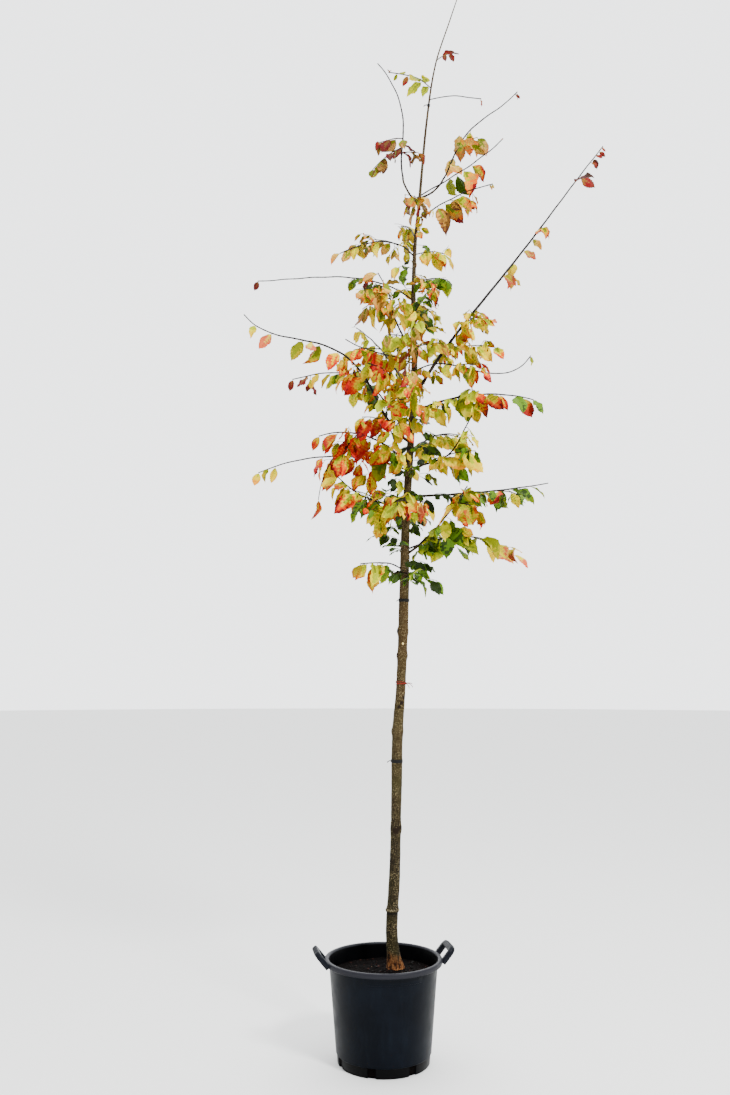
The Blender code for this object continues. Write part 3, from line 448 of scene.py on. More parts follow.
def leaf_skin(place, length, start):
    """A flat diamond round a leaf, from a share of its length to past its tip."""
    outline = [(start, 0.0), (LEAF_WIDEST, 0.54), (1.04, 0.0), (LEAF_WIDEST, -0.54)]
    corners = [blade_point(place, length, along, across, 0.0) for along, across in outline]
    corners += [blade_point(place, length, LEAF_WIDEST, 0.0, side * LEAF_ROOM) for side in (1, -1)]
    faces = [(k, (k + 1) % 4, top) for k in range(4) for top in (4, 5)]
    return corners, faces


def blade_point(place, length, along, across, over):
    """A point of a leaf from its shares along and across the blade, and its height over it."""
    sag = FOLD * 2 * abs(across) - DROOP * along**2
    return place @ Vector((along * length, across * LEAF_WIDTH * length, over + sag * length))


def leaf_place(point, ahead, side, hang, spin, rng):
    """A leaf's own frame: +X runs down its midrib and +Z out of its upper face."""
    across = ahead.cross(UP)
    if across.length < 0.25:
        across = direction(rng.uniform(0, 360), 0)
    across = (across.normalized() * side).normalized()
    lean = math.radians(hang)
    axis = across * math.cos(lean) - UP * math.sin(lean) + ahead * rng.uniform(*LEAN_AHEAD)
    axis.normalize()
    face = UP * math.cos(lean) + across * math.sin(lean)
    width = face.cross(axis).normalized()
    face = axis.cross(width).normalized()
    frame = Matrix((axis, width, face)).transposed().to_4x4()
    twist = Matrix.Rotation(math.radians(spin), 4, "Z")
    return Matrix.Translation(point) @ twist @ frame


def leaf_stations(shoot, stem, twigs):
    """Every place where the rule sets a leaf: (path, share, side, size)."""
    places = []
    for start, end, count, size in shoot.leaves:
        for index in range(count):
            share = start + (end - start) * (index + 0.5) / count
            if end >= 1.0 and index == count - 1:
                share = 1.0
            places.append((stem, share, (-1) ** index, size * (1.0 - 0.35 * share**4)))
    for twig, count in twigs:
        for index in range(count):
            share = (index + 1) / count
            places.append((twig, share, (-1) ** index, 1.0 - 0.25 * share**3))
    return places


def plan_twigs(shoot, stem, space):
    """The side twigs of a mass, each turned until it lies clear or else left out."""
    twigs = []
    for place, turn, rise, length, count in shoot.twigs:
        start, ahead = point_on(stem, place)
        heading = math.degrees(math.atan2(ahead.y, ahead.x)) + turn
        seed = f"{shoot.name} twig {place}"
        for extra in TWIG_TURNS_TRIED:
            points = limb_path(
                start, heading + extra, rise, rise - TWIG_DROOP, 0.0, 0.0, length, seed
            )
            radii = tapered(TWIG_RADIUS, TIP_RADIUS, len(points))
            if space.clear(limb_skin(points[1:], radii[1:]), shoot.name, True):
                space.add(shoot.name, limb_skin(points, radii))
                twigs.append((points, count))
                break
    return twigs


def plan_leaves(shoot, stem, twigs, space):
    """The leaves of a mass, each turned until it lies clear or else left out."""
    leaves = []
    for index, (path, share, side, size) in enumerate(leaf_stations(shoot, stem, twigs)):
        rng = random.Random(f"{shoot.name} leaf {index}")
        point, ahead = point_on(path, share)
        length = shoot.leaf * size * rng.uniform(*SIZE_SPREAD)
        hang = shoot.hang + rng.uniform(*HANG_SPREAD)
        spin = rng.uniform(-SPIN_SPREAD, SPIN_SPREAD)
        for turn in LEAF_TURNS_TRIED:
            place = leaf_place(point, ahead, side, hang, spin + turn, rng)
            whole = leaf_skin(place, length, 0.0)
            blade = leaf_skin(place, length, ROOT_SHARE)
            if space.clear(whole, shoot.name, True) and space.clear(blade, shoot.name):
                space.add(shoot.name, whole)
                leaves.append(Leaf(place, length))
                break
    return leaves


def plan_crown(space):
    """Every mass of the crown as its stem, side twigs and leaves, each in its own room."""
    centres, radii = trunk_path()
    space.add("trunk", limb_skin(centres, [radius + TIE_THICKNESS for radius in radii]))
    stems = {shoot.name: shoot_path(shoot) for shoot in SHOOTS}
    for shoot in SHOOTS:
        bough, stem = split_stem(shoot, stems[shoot.name])
        if bough:
            space.add(f"bough_{shoot.name}", limb_skin(*bough))
        space.add(shoot.name, limb_skin(*stem))
    twigs = {shoot.name: plan_twigs(shoot, stems[shoot.name], space) for shoot in SHOOTS}
    return {
        shoot.name: (
            stems[shoot.name],
            twigs[shoot.name],
            plan_leaves(shoot, stems[shoot.name], twigs[shoot.name], space),
        )
        for shoot in SHOOTS
    }


def srgb(red, green, blue):
    """A linear colour from its 0 to 255 screen values."""
    values = []
    for value in (red, green, blue):
        share = value / 255
        values.append(share / 12.92 if share <= 0.04045 else ((share + 0.055) / 1.055) ** 2.4)
    return (*values, 1.0)


TINTS = {
    "green_deep": (46, 68, 12),
    "green": (92, 130, 10),
    "olive": (126, 138, 4),
    "lime": (182, 192, 0),
    "lemon": (240, 222, 0),
    "yellow": (250, 210, 0),
    "amber": (248, 160, 0),
    "orange": (242, 108, 0),
    "vermilion": (226, 56, 4),
    "scarlet": (206, 22, 12),
    "crimson": (128, 10, 16),
    "rose": (226, 108, 66),
    "fawn": (230, 184, 80),
    "tan": (206, 148, 60),
    "bronze": (138, 92, 34),
    "umber": (92, 50, 28),
    "maroon": (126, 42, 32),
}
# the deeper strength stands partly for older leaves' darker colour and partly for painted shade
FRESH = 0.74
AGED_AND_SHADED = 0.38
AGED_AND_SHADED_SHARE = 0.34

KINDS = {
    # tints from the midrib's foot outwards and on to the tip
    "deep": ("green_deep", "green_deep", "green"),
    "green": ("green", "green", "green_deep", "green", "olive"),
    "fresh": ("green", "green", "olive", "lime", "lime"),
    "lime": ("olive", "lime", "lime", "lime", "lemon", "lemon"),
    "gold": ("lime", "lemon", "yellow", "yellow", "yellow", "amber"),
    "flame": ("lime", "lemon", "yellow", "amber", "orange", "scarlet"),
    "red": ("yellow", "orange", "vermilion", "scarlet", "scarlet", "crimson"),
    "margin": ("olive", "lime", "yellow", "orange", "vermilion", "crimson"),
    "pink": ("lemon", "fawn", "rose", "rose", "vermilion"),
    "ripe": ("olive", "lime", "amber", "tan", "orange", "crimson"),
    "tan": ("olive", "fawn", "tan", "tan", "orange"),
    "bronze": ("olive", "bronze", "tan", "bronze", "umber"),
    "dark": ("bronze", "maroon", "crimson", "maroon", "umber"),
}

MIXES = {
    # the kinds of leaf that each mass shows, from its foot to its tip
    "low_front": "deep deep green green fresh",
    "low_left": "green fresh lime flame flame",
    "low_right": "green fresh lime green fresh lime gold margin flame",
    "low_right_arch": "green fresh lime fresh green lime gold pink pink",
    "back_low": "deep green fresh lime gold",
    "front_low": "lime pink flame red pink gold lime",
    "left_low": "deep green gold green red margin flame gold",
    "long_right": "deep deep deep deep green gold margin green green green fresh",
    "right_fork": "green fresh gold fresh gold green gold gold lime",
    "left_far": "lime gold red red red red pink red red gold gold",
    "left_red": "green fresh flame red margin red red",
    "left_rise": "green lime gold flame red flame red",
    "back_mid": "green lime gold lime gold lime",
    "left_arch": "gold lime flame red flame margin red pink gold",
    "left_arch_low": "lime gold green flame lime gold gold dark",
    "front_mid": "gold flame flame lime gold margin tan",
    "right_mid": "deep deep green lime lime gold margin red green red",
    "back_long": "deep lime gold lime gold",
    "left_front": "lime flame flame gold flame red gold",
    "long_shoot": "lime flame gold margin gold pink gold tan ripe dark dark",
    "right_thin": "lime flame gold margin red flame lime",
    "front_high": "tan pink gold tan lime gold",
    "left_thin": "flame red margin flame",
    "left_cluster": "pink tan gold gold ripe gold tan margin",
    "back_high": "gold green tan gold lime",
    "front_upper": "green deep green green margin",
    "left_wire": "green green fresh tan dark",
    "right_high_green": "green green green fresh",
    "left_high": "lime gold tan gold bronze tan",
    "right_gold": "gold flame flame gold",
    "back_upper": "lime gold ripe bronze",
    "right_top_low": "tan gold bronze ripe bronze tan",
    "front_neck": "bronze tan bronze gold ripe",
    "left_top": "bronze bronze dark bronze dark dark",
    "right_top_a": "tan ripe lime tan margin ripe dark",
    "right_top_b": "lime fresh margin margin ripe",
    "top_right": "dark",
    "top_left": "tan lime dark dark dark",
    "leader_tuft": "dark dark",
}


class Pile:
    """Many small shapes gathered into one mesh, with a material for each face."""

    def __init__(self):
        self.points = []
        self.faces = []
        self.slots = []
        self.count = 0

    def add(self, points, faces, slots):
        self.points.append(np.asarray(points, float))
        self.faces += [[self.count + index for index in face] for face in faces]
        self.slots += list(slots) if np.ndim(slots) else [slots] * len(faces)
        self.count += len(points)

    def piece(self, name, materials):
        """The whole pile as one object, with a slot for each material that it uses."""
        mesh = bpy.data.meshes.new(name)
        mesh.from_pydata(np.concatenate(self.points), [], self.faces)
        used, places = np.unique(self.slots, return_inverse=True)
        for index in used:
            mesh.materials.append(materials[index])
        mesh.polygons.foreach_set("material_index", places.ravel())
        mesh.shade_smooth()
        mesh.set_sharp_from_angle(angle=math.radians(50))
        return mesh_piece(name, mesh)


def mesh_piece(name, mesh):
    obj = bpy.data.objects.new(name, mesh)
    bpy.context.scene.collection.objects.link(obj)
    return obj


def dress(piece, slot, *nodes):
    """Sets a piece on the tree's one body, in place of the solids it stands for."""
    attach(piece, "root")
    if nodes:
        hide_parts(*nodes)
    return piece


class Nodes:
    """Short ways to build a material's node tree."""

    def __init__(self, name):
        self.material = bpy.data.materials.new(name)
        self.material.use_nodes = True
        self.tree = self.material.node_tree
        self.shader = self.tree.nodes["Principled BSDF"]

    def node(self, kind, **inputs):
        made = self.tree.nodes.new(kind)
        for name, value in inputs.items():
            self.put(made, name.replace("_", " "), value)
        return made

    def put(self, made, name, value):
        if isinstance(value, bpy.types.NodeSocket):
            self.tree.links.new(value, made.inputs[name])
        else:
            made.inputs[name].default_value = value

    def shade(self, name, value):
        self.put(self.shader, name, value)

    def place(self, scale=(1.0, 1.0, 1.0)):
        """The surface's place in metres, stretched along the axes."""
        where = self.node("ShaderNodeTexCoord")
        mapping = self.node("ShaderNodeMapping")
        self.put(mapping, "Vector", where.outputs["Object"])
        self.put(mapping, "Scale", scale)
        return mapping.outputs["Vector"]

    def noise(self, vector, scale, detail=4.0, roughness=0.55):
        made = self.node("ShaderNodeTexNoise", Scale=scale, Detail=detail, Roughness=roughness)
        self.put(made, "Vector", vector)
        return made.outputs["Fac"]

    def spots(self, vector, scale, size, soft=0.35):
        """One inside round spots and zero between them."""
        made = self.node("ShaderNodeTexVoronoi", Scale=scale)
        self.put(made, "Vector", vector)
        return self.between(made.outputs["Distance"], size, size * (1 - soft))

    def between(self, value, low, high):
        """A value stretched so that low becomes zero and high becomes one."""
        made = self.node("ShaderNodeMapRange")
        made.clamp = True
        self.put(made, "Value", value)
        self.put(made, "From Min", low)
        self.put(made, "From Max", high)
        return made.outputs["Result"]

    def math(self, operation, *values):
        made = self.node("ShaderNodeMath")
        made.operation = operation
        for index, value in enumerate(values):
            if isinstance(value, bpy.types.NodeSocket):
                self.tree.links.new(value, made.inputs[index])
            else:
                made.inputs[index].default_value = value
        return made.outputs["Value"]

    def mix(self, share, first, second):
        made = self.node("ShaderNodeMix")
        made.data_type = "RGBA"
        for index, value in ((0, share), (6, first), (7, second)):
            if isinstance(value, bpy.types.NodeSocket):
                self.tree.links.new(value, made.inputs[index])
            else:
                made.inputs[index].default_value = value
        return made.outputs[2]

    def bump(self, height, strength, distance, under=None):
        made = self.node("ShaderNodeBump", Strength=strength, Distance=distance, Height=height)
        if under is not None:
            self.put(made, "Normal", under)
        return made.outputs["Normal"]


def leaf_material(name, colour, rough):
    """A leaf's skin: one plain colour, with fine veins and uneven gloss from its nodes."""
    nodes = Nodes(name)
    nodes.shade("Base Color", colour)
    where = nodes.place()
    nodes.shade("Roughness", nodes.between(nodes.noise(where, 90.0), -1.0, 2.4 - rough))
    net = nodes.node("ShaderNodeTexVoronoi", Scale=420.0)
    net.feature = "DISTANCE_TO_EDGE"
    nodes.put(net, "Vector", where)
    fine = nodes.bump(nodes.between(net.outputs["Distance"], 0.0, 0.08), 0.25, 0.0004)
    nodes.shade("Normal", nodes.bump(nodes.noise(where, 160.0), 0.3, 0.0012, fine))
    nodes.shade("Specular IOR Level", 0.10)
    return nodes.material


def leaf_palette():
    """Every tint twice: fresh, then deeper, partly as the darker colour of older leaves and partly as painted
    shade.
    """
    names = list(TINTS)
    made = []
    for strength, ending in ((FRESH, ""), (AGED_AND_SHADED, "_deep")):
        for name in names:
            colour = [value * strength for value in srgb(*TINTS[name])[:3]]
            made.append(leaf_material(f"leaf_{name}{ending}", (*colour, 1.0), 0.62))
    return names, made


VEINS = 7
BLADE_ROWS = 2 * VEINS
ACROSS = (-1.0, -0.78, -0.52, -0.22, 0.0, 0.22, 0.52, 0.78, 1.0)
PETIOLE = 0.075
BLADE_WIDTH = 0.56
TOOTH = 0.05
PLEAT = 0.015
BLADE_THICKNESS = 0.00045
FOLDED_UP = 0.50
FOLDED_SHARE = 0.22
MIDRIB_TINT = 0.10
# alternating tints on the two slopes of each pleat, row by row: painted light and shade
PLEAT_SHADE_TINT = 0.055


def blade_template():
    """The faces that every leaf shares, and each face's place along and across the blade.

    Vertices: the base, the tip, the rows of the upper side, then the inner ones of the underside.
    """
    wide = len(ACROSS)
    rows = BLADE_ROWS - 1
    upper = [[2 + row * wide + k for k in range(wide)] for row in range(rows)]
    first_under = 2 + rows * wide
    under = [
        [line[0]] + [first_under + row * (wide - 2) + k for k in range(wide - 2)] + [line[-1]]
        for row, line in enumerate(upper)
    ]
    faces, along, across, between = [], [], [], []
    for lines, is_upper in ((upper, True), (under, False)):
        for row in range(rows + 1):
            for k in range(wide - 1):
                if row == 0:
                    face = [0, lines[0][k + 1], lines[0][k]]
                elif row == rows:
                    face = [1, lines[-1][k], lines[-1][k + 1]]
                else:
                    low, high = lines[row - 1], lines[row]
                    face = [low[k], low[k + 1], high[k + 1], high[k]]
                    face = face[::-1]
                faces.append(face[::-1] if is_upper else face)
                along.append((row + 0.5) / BLADE_ROWS)
                across.append((ACROSS[k] + ACROSS[k + 1]) / 2)
                between.append((-1) ** row)
    return faces, np.array(along), np.array(across), np.array(between)


TEMPLATE_FACES, FACE_ALONG, FACE_ACROSS, FACE_BETWEEN = blade_template()


def blade_mesh_points(length, rng):
    """One leaf's vertices in its own frame: a wavy, pleated, gently curled blade."""
    row = np.arange(1, BLADE_ROWS)[:, None]
    root = row / BLADE_ROWS
    t = np.array(ACROSS)[None, :]
    end = root**0.78
    along = root + (end - root) * np.abs(t)
    full = np.sin(np.pi * np.clip(end, 0, 1) ** 1.04) ** (0.62 + 0.30 * end)
    vein = np.where(row % 2 == 0, 1.0, -1.0)
    ragged = np.array([[rng.uniform(-1, 1), rng.uniform(-1, 1)] for _ in row])
    ragged = np.where(t < 0, ragged[:, :1], ragged[:, 1:])
    tooth = 1 + TOOTH * (vein + 0.8 * ragged) * np.clip(end * 1.8, 0.2, 1.0)
    half = 0.5 * BLADE_WIDTH * rng.uniform(0.80, 1.12) * full * tooth
    skew = 1 + 0.05 * np.sign(t) * rng.choice((-1, 1))
    across = t * half * skew
    reach = np.abs(t)
    fold = rng.uniform(0.02, 0.42) + (FOLDED_UP if rng.random() < FOLDED_SHARE else 0.0)
    droop = rng.uniform(0.0, 0.38)
    curl = rng.uniform(-0.15, 0.35)
    wave = rng.uniform(0.015, 0.060)
    phase = rng.uniform(0, math.tau)
    over = fold * np.abs(across) - droop * along**2 - curl * reach**3 * half
    over = over - vein * PLEAT * np.sin(np.pi * reach * 0.8)
    over = over + wave * reach**2 * np.sin(math.tau * 2.2 * along + phase + np.sign(t) * 0.9)
    hook = rng.uniform(-0.10, 0.14)
    across = across + hook * along**2
    twist = rng.uniform(-0.9, 0.9) * along
    y = across * np.cos(twist) - over * np.sin(twist)
    z = across * np.sin(twist) + over * np.cos(twist)
    upper = np.stack([along, y, z], axis=-1)
    inner = upper[:, 1:-1] - np.array([0.0, 0.0, BLADE_THICKNESS / length])
    tip_over = -droop
    tip = [[1.03, hook * math.cos(0) - tip_over * math.sin(twist[-1, 0]), tip_over]]
    base = [[0.0, 0.0, 0.0]]
    points = np.concatenate([base, tip, upper.reshape(-1, 3), inner.reshape(-1, 3)])
    points[:, 0] = PETIOLE + points[:, 0] * (1 - PETIOLE)
    return points * length


def blade_tints(kind, names, rng):
    """A tint for each face: from the midrib's colour to the margin's and the tip's, in blotches."""
    ramp = KINDS[kind]
    stage = rng.uniform(-0.18, 0.14)
    tipped = rng.uniform(0.42, 0.95)
    edged = rng.uniform(0.05, 0.40)
    offset = Vector((rng.uniform(0, 50), rng.uniform(0, 50), 0.0))
    grain = rng.uniform(1.4, 3.2)
    blotch = np.array([
        noise.noise(Vector((a * grain, b * grain * 0.7, 0.0)) + offset)
        for a, b in zip(FACE_ALONG, FACE_ACROSS)
    ])
    lean = rng.uniform(-0.14, 0.14)
    field = (
        stage + 0.10 + edged * np.abs(FACE_ACROSS) ** 1.6 + tipped * FACE_ALONG**1.4
        # the row-by-row term gives the pleats' two slopes neighbouring tints as painted light and shade
        + 0.42 * blotch + lean * FACE_ACROSS + PLEAT_SHADE_TINT * FACE_BETWEEN
        - MIDRIB_TINT * (np.abs(FACE_ACROSS) < 0.2)
    )
    step = np.clip((field * len(ramp)).astype(int), 0, len(ramp) - 1)
    index = np.array([names.index(tint) for tint in ramp])[step]
    # leaves drawn at random take the deeper copies: partly older leaves' colour, partly painted shade
    return index + (len(names) if rng.random() < AGED_AND_SHADED_SHARE else 0)


def sweep(points, radii, sides):
    """A round limb along a path: its vertices and faces, capped at both ends."""
    ring_points, faces = [], []
    over = Vector((0.21, 0.13, 0.97))
    for index, (point, radius) in enumerate(zip(points, radii)):
        ahead = points[min(index + 1, len(points) - 1)] - points[max(index - 1, 0)]
        ahead.normalize()
        across = ahead.cross(over).normalized()
        over = across.cross(ahead)
        for k in range(sides):
            angle = math.tau * k / sides
            ring_points.append(
                point + across * (radius * math.cos(angle)) + over * (radius * math.sin(angle))
            )
    for index in range(len(points) - 1):
        low, high = index * sides, (index + 1) * sides
        faces += [
            (low + k, high + k, high + (k + 1) % sides, low + (k + 1) % sides)
            for k in range(sides)
        ]
    last = (len(points) - 1) * sides
    faces.append(tuple(range(sides)))
    faces.append(tuple(last + k for k in range(sides - 1, -1, -1)))
    return ring_points, faces


def smoothed(points, radii, step):
    """The same limb with more points, on a smooth curve through its own."""
    made, widths = [], []
    last = len(points) - 1
    for index in range(last):
        a, b = points[max(index - 1, 0)], points[index]
        c, d = points[index + 1], points[min(index + 2, last)]
        count = max(2, round((c - b).length / step))
        for k in range(count):
            t = k / count
            made.append(
                0.5 * (2 * b + (c - a) * t + (2 * a - 5 * b + 4 * c - d) * t**2
                       + (3 * b - a - 3 * c + d) * t**3)
            )
            widths.append(radii[index] + (radii[index + 1] - radii[index]) * t)
    return made + [points[-1]], widths + [radii[-1]]


def knuckled(radii, step, rng, swell=0.16, spacing=0.032):
    """The radii with a small swelling at each bud."""
    offset = rng.uniform(0, spacing)
    made = []
    for index, radius in enumerate(radii):
        place = (index * step + offset) % spacing / spacing
        made.append(radius * (1 + swell * math.exp(-(((place - 0.5) / 0.12) ** 2))))
    return made


SPUR_RADIUS = 0.0011
INNER_REACH = 0.24
INNER_SPACING = 0.036
OUTER_SPACING = 0.180
SPURS_BELOW = 3.260
REACH_SPARE = 0.012
SHRINK = 0.97
SHORT_SHOOTS = 66
SHORT_SHOOTS_FROM = 1.700
SHORT_SHOOTS_TO = 3.120
GOLDEN_ANGLE = 137.5


class Spray(NamedTuple):
    """A finer twig and its leaves."""

    points: list
    radii: list
    leaves: list


def mass_reach(stem, twigs, leaves):
    """The corners of the space that a mass keeps to."""
    points = list(stem) + [point for twig, _ in twigs for point in twig]
    points += [leaf.place @ Vector((leaf.length, 0, 0)) for leaf in leaves]
    low = [min(point[axis] for point in points) - REACH_SPARE for axis in range(3)]
    high = [max(point[axis] for point in points) + REACH_SPARE for axis in range(3)]
    return low, high


def within(box, points):
    if box is None:
        return True
    return all(box[0][axis] < point[axis] < box[1][axis] for point in points for axis in range(3))


def grow_spray(name, point, heading, rise, length, size, hang, box, space, rng):
    """A finer twig with up to four leaves, each kept clear of all else, or nothing."""
    spur = limb_path(point, heading, rise, rise - rng.uniform(5, 45), 0.0, rng.uniform(-25, 25),
                     length, rng.random())
    radii = tapered(SPUR_RADIUS, SPUR_RADIUS * 0.75, len(spur))
    if not space.clear(limb_skin(spur[1:], radii[1:]), name, True):
        return None
    leaves = []
    shares = (0.35, 0.62, 0.85, 1.0) if length > 0.06 else (0.5, 0.8, 1.0)
    for index, share in enumerate(shares):
        root, onward = point_on(spur, share)
        blade_length = size * rng.uniform(0.72, 1.12)
        for turn in (0, 50, -50):
            place = leaf_place(root, onward, (-1) ** index, hang + rng.uniform(-30, 15),
                               rng.uniform(-40, 40) + turn, rng)
            whole = leaf_skin(place, blade_length, 0.0)
            blade = leaf_skin(place, blade_length, ROOT_SHARE)
            if (
                within(box, whole[0])
                and space.clear(whole, name, True)
                and space.clear(blade, name)
            ):
                space.add(name, whole)
                leaves.append(Leaf(place, blade_length))
                break
    if not leaves:
        return None
    space.add(name, limb_skin(spur, radii))
    return Spray(spur, radii, leaves)


def plan_spurs(shoot, stem, twigs, leaves, space):
    """Finer twigs along a mass's stem and side twigs: close together near the trunk, few beyond."""
    rng = random.Random(f"{shoot.name} spurs")
    box = mass_reach(stem, twigs, leaves)
    sprays = []
    for path in [stem] + [twig for twig, _ in twigs]:
        whole = sum((b - a).length for a, b in zip(path, path[1:]))
        gone = 0.02 if path is stem else 0.015
        while gone < whole:
            gone_share = gone / whole
            point, ahead = point_on(path, gone_share)
            centre, _ = trunk_at(point.z)
            inner = (point - centre).xy.length < INNER_REACH
            gone += (INNER_SPACING if inner else OUTER_SPACING) * rng.uniform(0.7, 1.5)
            leafy = path is not stem or any(
                start <= gone_share <= end for start, end, _, _ in shoot.leaves
            )
            if point.z > SPURS_BELOW or not (inner or leafy):
                continue
            heading = math.degrees(math.atan2(ahead.y, ahead.x)) + rng.choice((-1, 1)) * rng.uniform(35, 80)
            size = shoot.leaf * (rng.uniform(0.45, 0.75) if inner else rng.uniform(0.6, 0.9))
            spray = grow_spray(shoot.name, point, heading, rng.uniform(-20, 35),
                               rng.uniform(0.025, 0.065), size, shoot.hang, box, space, rng)
            if spray:
                sprays.append(spray)
    return sprays


def plan_short_shoots(space):
    """Short leafy shoots all up the trunk, where the crown is dense."""
    sprays = []
    for index in range(SHORT_SHOOTS):
        rng = random.Random(f"short shoot {index}")
        share = (index + 0.5) / SHORT_SHOOTS
        height = SHORT_SHOOTS_FROM + (SHORT_SHOOTS_TO - SHORT_SHOOTS_FROM) * share**1.1
        height += rng.uniform(-0.012, 0.012)
        centre, radius = trunk_at(height)
        heading = index * GOLDEN_ANGLE
        start = centre + direction(heading, 20) * radius * 0.7
        spray = grow_spray(f"short_{index}", start, heading, rng.uniform(5, 40),
                           rng.uniform(0.05, 0.12) * (1.1 - 0.4 * share),
                           rng.uniform(0.046, 0.080), rng.uniform(25, 60), None, space, rng)
        if spray:
            sprays.append((height, spray))
    return sprays


def kinds_along(mix, share, rng):
    """The kind of leaf at a share of the mass, from its foot to its tip."""
    kinds = mix.split()
    place = share * len(kinds) + rng.gauss(0, 0.9)
    return kinds[min(max(int(place), 0), len(kinds) - 1)]


def share_along(stem, point):
    """How far along the stem the nearest place to a point lies."""
    spots = [(stem_point - point).length for stem_point in stem]
    return spots.index(min(spots)) / (len(stem) - 1)


def add_leaf(leaf, kind, names, leaves_pile, twigs_pile, rng):
    points = blade_mesh_points(leaf.length, rng)
    matrix = np.array(leaf.place)
    low, high = np.array(cad_box)
    placed = points @ matrix[:3, :3].T + matrix[:3, 3]
    while (placed < low).any() or (placed > high).any():
        points = points * SHRINK
        placed = points @ matrix[:3, :3].T + matrix[:3, 3]
    leaves_pile.add(placed, TEMPLATE_FACES, blade_tints(kind, names, rng))
    root = leaf.place.translation
    end = leaf.place @ Vector((PETIOLE * leaf.length * 1.25, 0.0, -0.0002))
    middle = root.lerp(end, 0.5) + Vector((0.0, 0.0, 0.0006))
    width = 0.0007 + 0.004 * leaf.length
    stalk, faces = sweep([root, middle, end], [width * 1.25, width, width * 0.8], 5)
    twigs_pile.add(stalk, faces, 2)


def add_limb(points, radii, slot, pile, seed, sides=7, step=0.008):
    rng = random.Random(seed)
    path, widths = smoothed(points, radii, step)
    vertices, faces = sweep(path, knuckled(widths, step, rng), sides)
    pile.add(vertices, faces, slot)


INNER_MIXES = (
    # up to this height, the kinds of leaf on the short shoots
    (2.00, "deep deep green deep green"),
    (2.25, "deep green deep green lime"),
    (2.50, "deep green lime gold deep gold"),
    (2.75, "lime gold tan green pink gold flame"),
    (3.30, "green gold deep tan gold ripe"),
)
LEVELS = (("lower", 2.22), ("middle", 2.80), ("upper", 9.0))


def level_at(height):
    return next(name for name, top in LEVELS if height < top)


def build_crown():
    """The leaves of each mass as one piece, and all the twigs as three."""
    names, palette = leaf_palette()
    bark = [twig_material("twig_grey", srgb(18, 13, 8)), twig_material("twig_brown", srgb(28, 15, 9)),
            twig_material("leaf_stalk", srgb(130, 96, 34))]
    space = Space()
    crown = plan_crown(space)
    piles = {level: Pile() for level, _ in LEVELS}
    boughs = Pile()
    sprays = {shoot.name: plan_spurs(shoot, *crown[shoot.name], space) for shoot in SHOOTS}
    total = 0
    for shoot in SHOOTS:
        points, twigs, leaves = crown[shoot.name]
        twigs_pile = piles[level_at(shoot.height)]
        bough, stem = split_stem(shoot, points)
        if bough:
            add_limb(*bough, 0, boughs, f"{shoot.name} bough", 12, 0.006)
        add_limb(*stem, 0, twigs_pile, f"{shoot.name} stem", 9)
        for index, (twig, _) in enumerate(twigs):
            radii = tapered(TWIG_RADIUS, TIP_RADIUS * 0.75, len(twig))
            add_limb(twig, radii, 1, twigs_pile, f"{shoot.name} twig {index}")
        leaves_pile = Pile()
        every = list(leaves)
        for spray in sprays[shoot.name]:
            add_limb(spray.points, spray.radii, 1, twigs_pile, f"{shoot.name} spur", 5)
            every += spray.leaves
        for index, leaf in enumerate(every):
            rng = random.Random(f"{shoot.name} looks {index}")
            share = share_along(points, leaf.place.translation)
            kind = kinds_along(MIXES[shoot.name], share, rng)
            add_leaf(leaf, kind, names, leaves_pile, twigs_pile, rng)
        total += len(every)
        piece = leaves_pile.piece(f"leaves_{shoot.name}", palette)
        dress(piece, f"leaves_{shoot.tint}", f"foliage_{shoot.name}")
    inner = Pile()
    for index, (height, spray) in enumerate(plan_short_shoots(space)):
        rng = random.Random(f"short looks {index}")
        mix = next(kinds for top, kinds in INNER_MIXES if height < top).split()
        twigs_pile = piles[level_at(height)]
        add_limb(spray.points, spray.radii, 1, twigs_pile, f"short {index}", 6)
        for leaf in spray.leaves:
            add_leaf(leaf, rng.choice(mix), names, inner, twigs_pile, rng)
            total += 1
    dress(inner.piece("leaves_by_trunk", palette), "leaves_green")
    for level, pile in piles.items():
        dress(pile.piece(f"twigs_{level}", bark), "bark")
    piece = boughs.piece("boughs_bark", [bark_material("bough_bark", 0.0)])
    dress(piece, "bark", *(f"bough_{shoot.name}" for shoot in SHOOTS if shoot.bare))
    print("leaves", total)


def twig_material(name, colour):
    """Young bark: one plain colour, finely wrinkled along and dotted with pores."""
    nodes = Nodes(name)
    nodes.shade("Base Color", colour)
    where = nodes.place()
    nodes.shade("Roughness", nodes.between(nodes.noise(where, 200.0), -0.6, 1.6))
    dots = nodes.bump(nodes.spots(where, 260.0, 0.3), 0.35, 0.0006)
    nodes.shade("Normal", nodes.bump(nodes.noise(where, 500.0), 0.35, 0.0006, dots))
    nodes.shade("Specular IOR Level", 0.12)
    return nodes.material


TRUNK_RING = 0.003
TRUNK_SKIN_SIDES = 26
KNOTS = (
    # height, heading, how far it stands out, its half width
    (0.512, 250, 0.0022, 0.010),
    (0.805, 335, 0.0030, 0.012),
    (0.690, 215, 0.0014, 0.008),
    (1.060, 300, 0.0012, 0.007),
    (1.157, 195, 0.0030, 0.010),
    (1.215, 285, 0.0016, 0.008),
    (1.265, 262, 0.0018, 0.009),
    (1.440, 190, 0.0024, 0.008),
    (1.437, 350, 0.0020, 0.008),
    (1.532, 188, 0.0036, 0.011),
    (1.585, 320, 0.0018, 0.008),
    (0.930, 130, 0.0020, 0.010),
    (1.350, 75, 0.0022, 0.010),
    (2.100, 265, 0.0018, 0.008),
    (2.480, 250, 0.0014, 0.007),
)


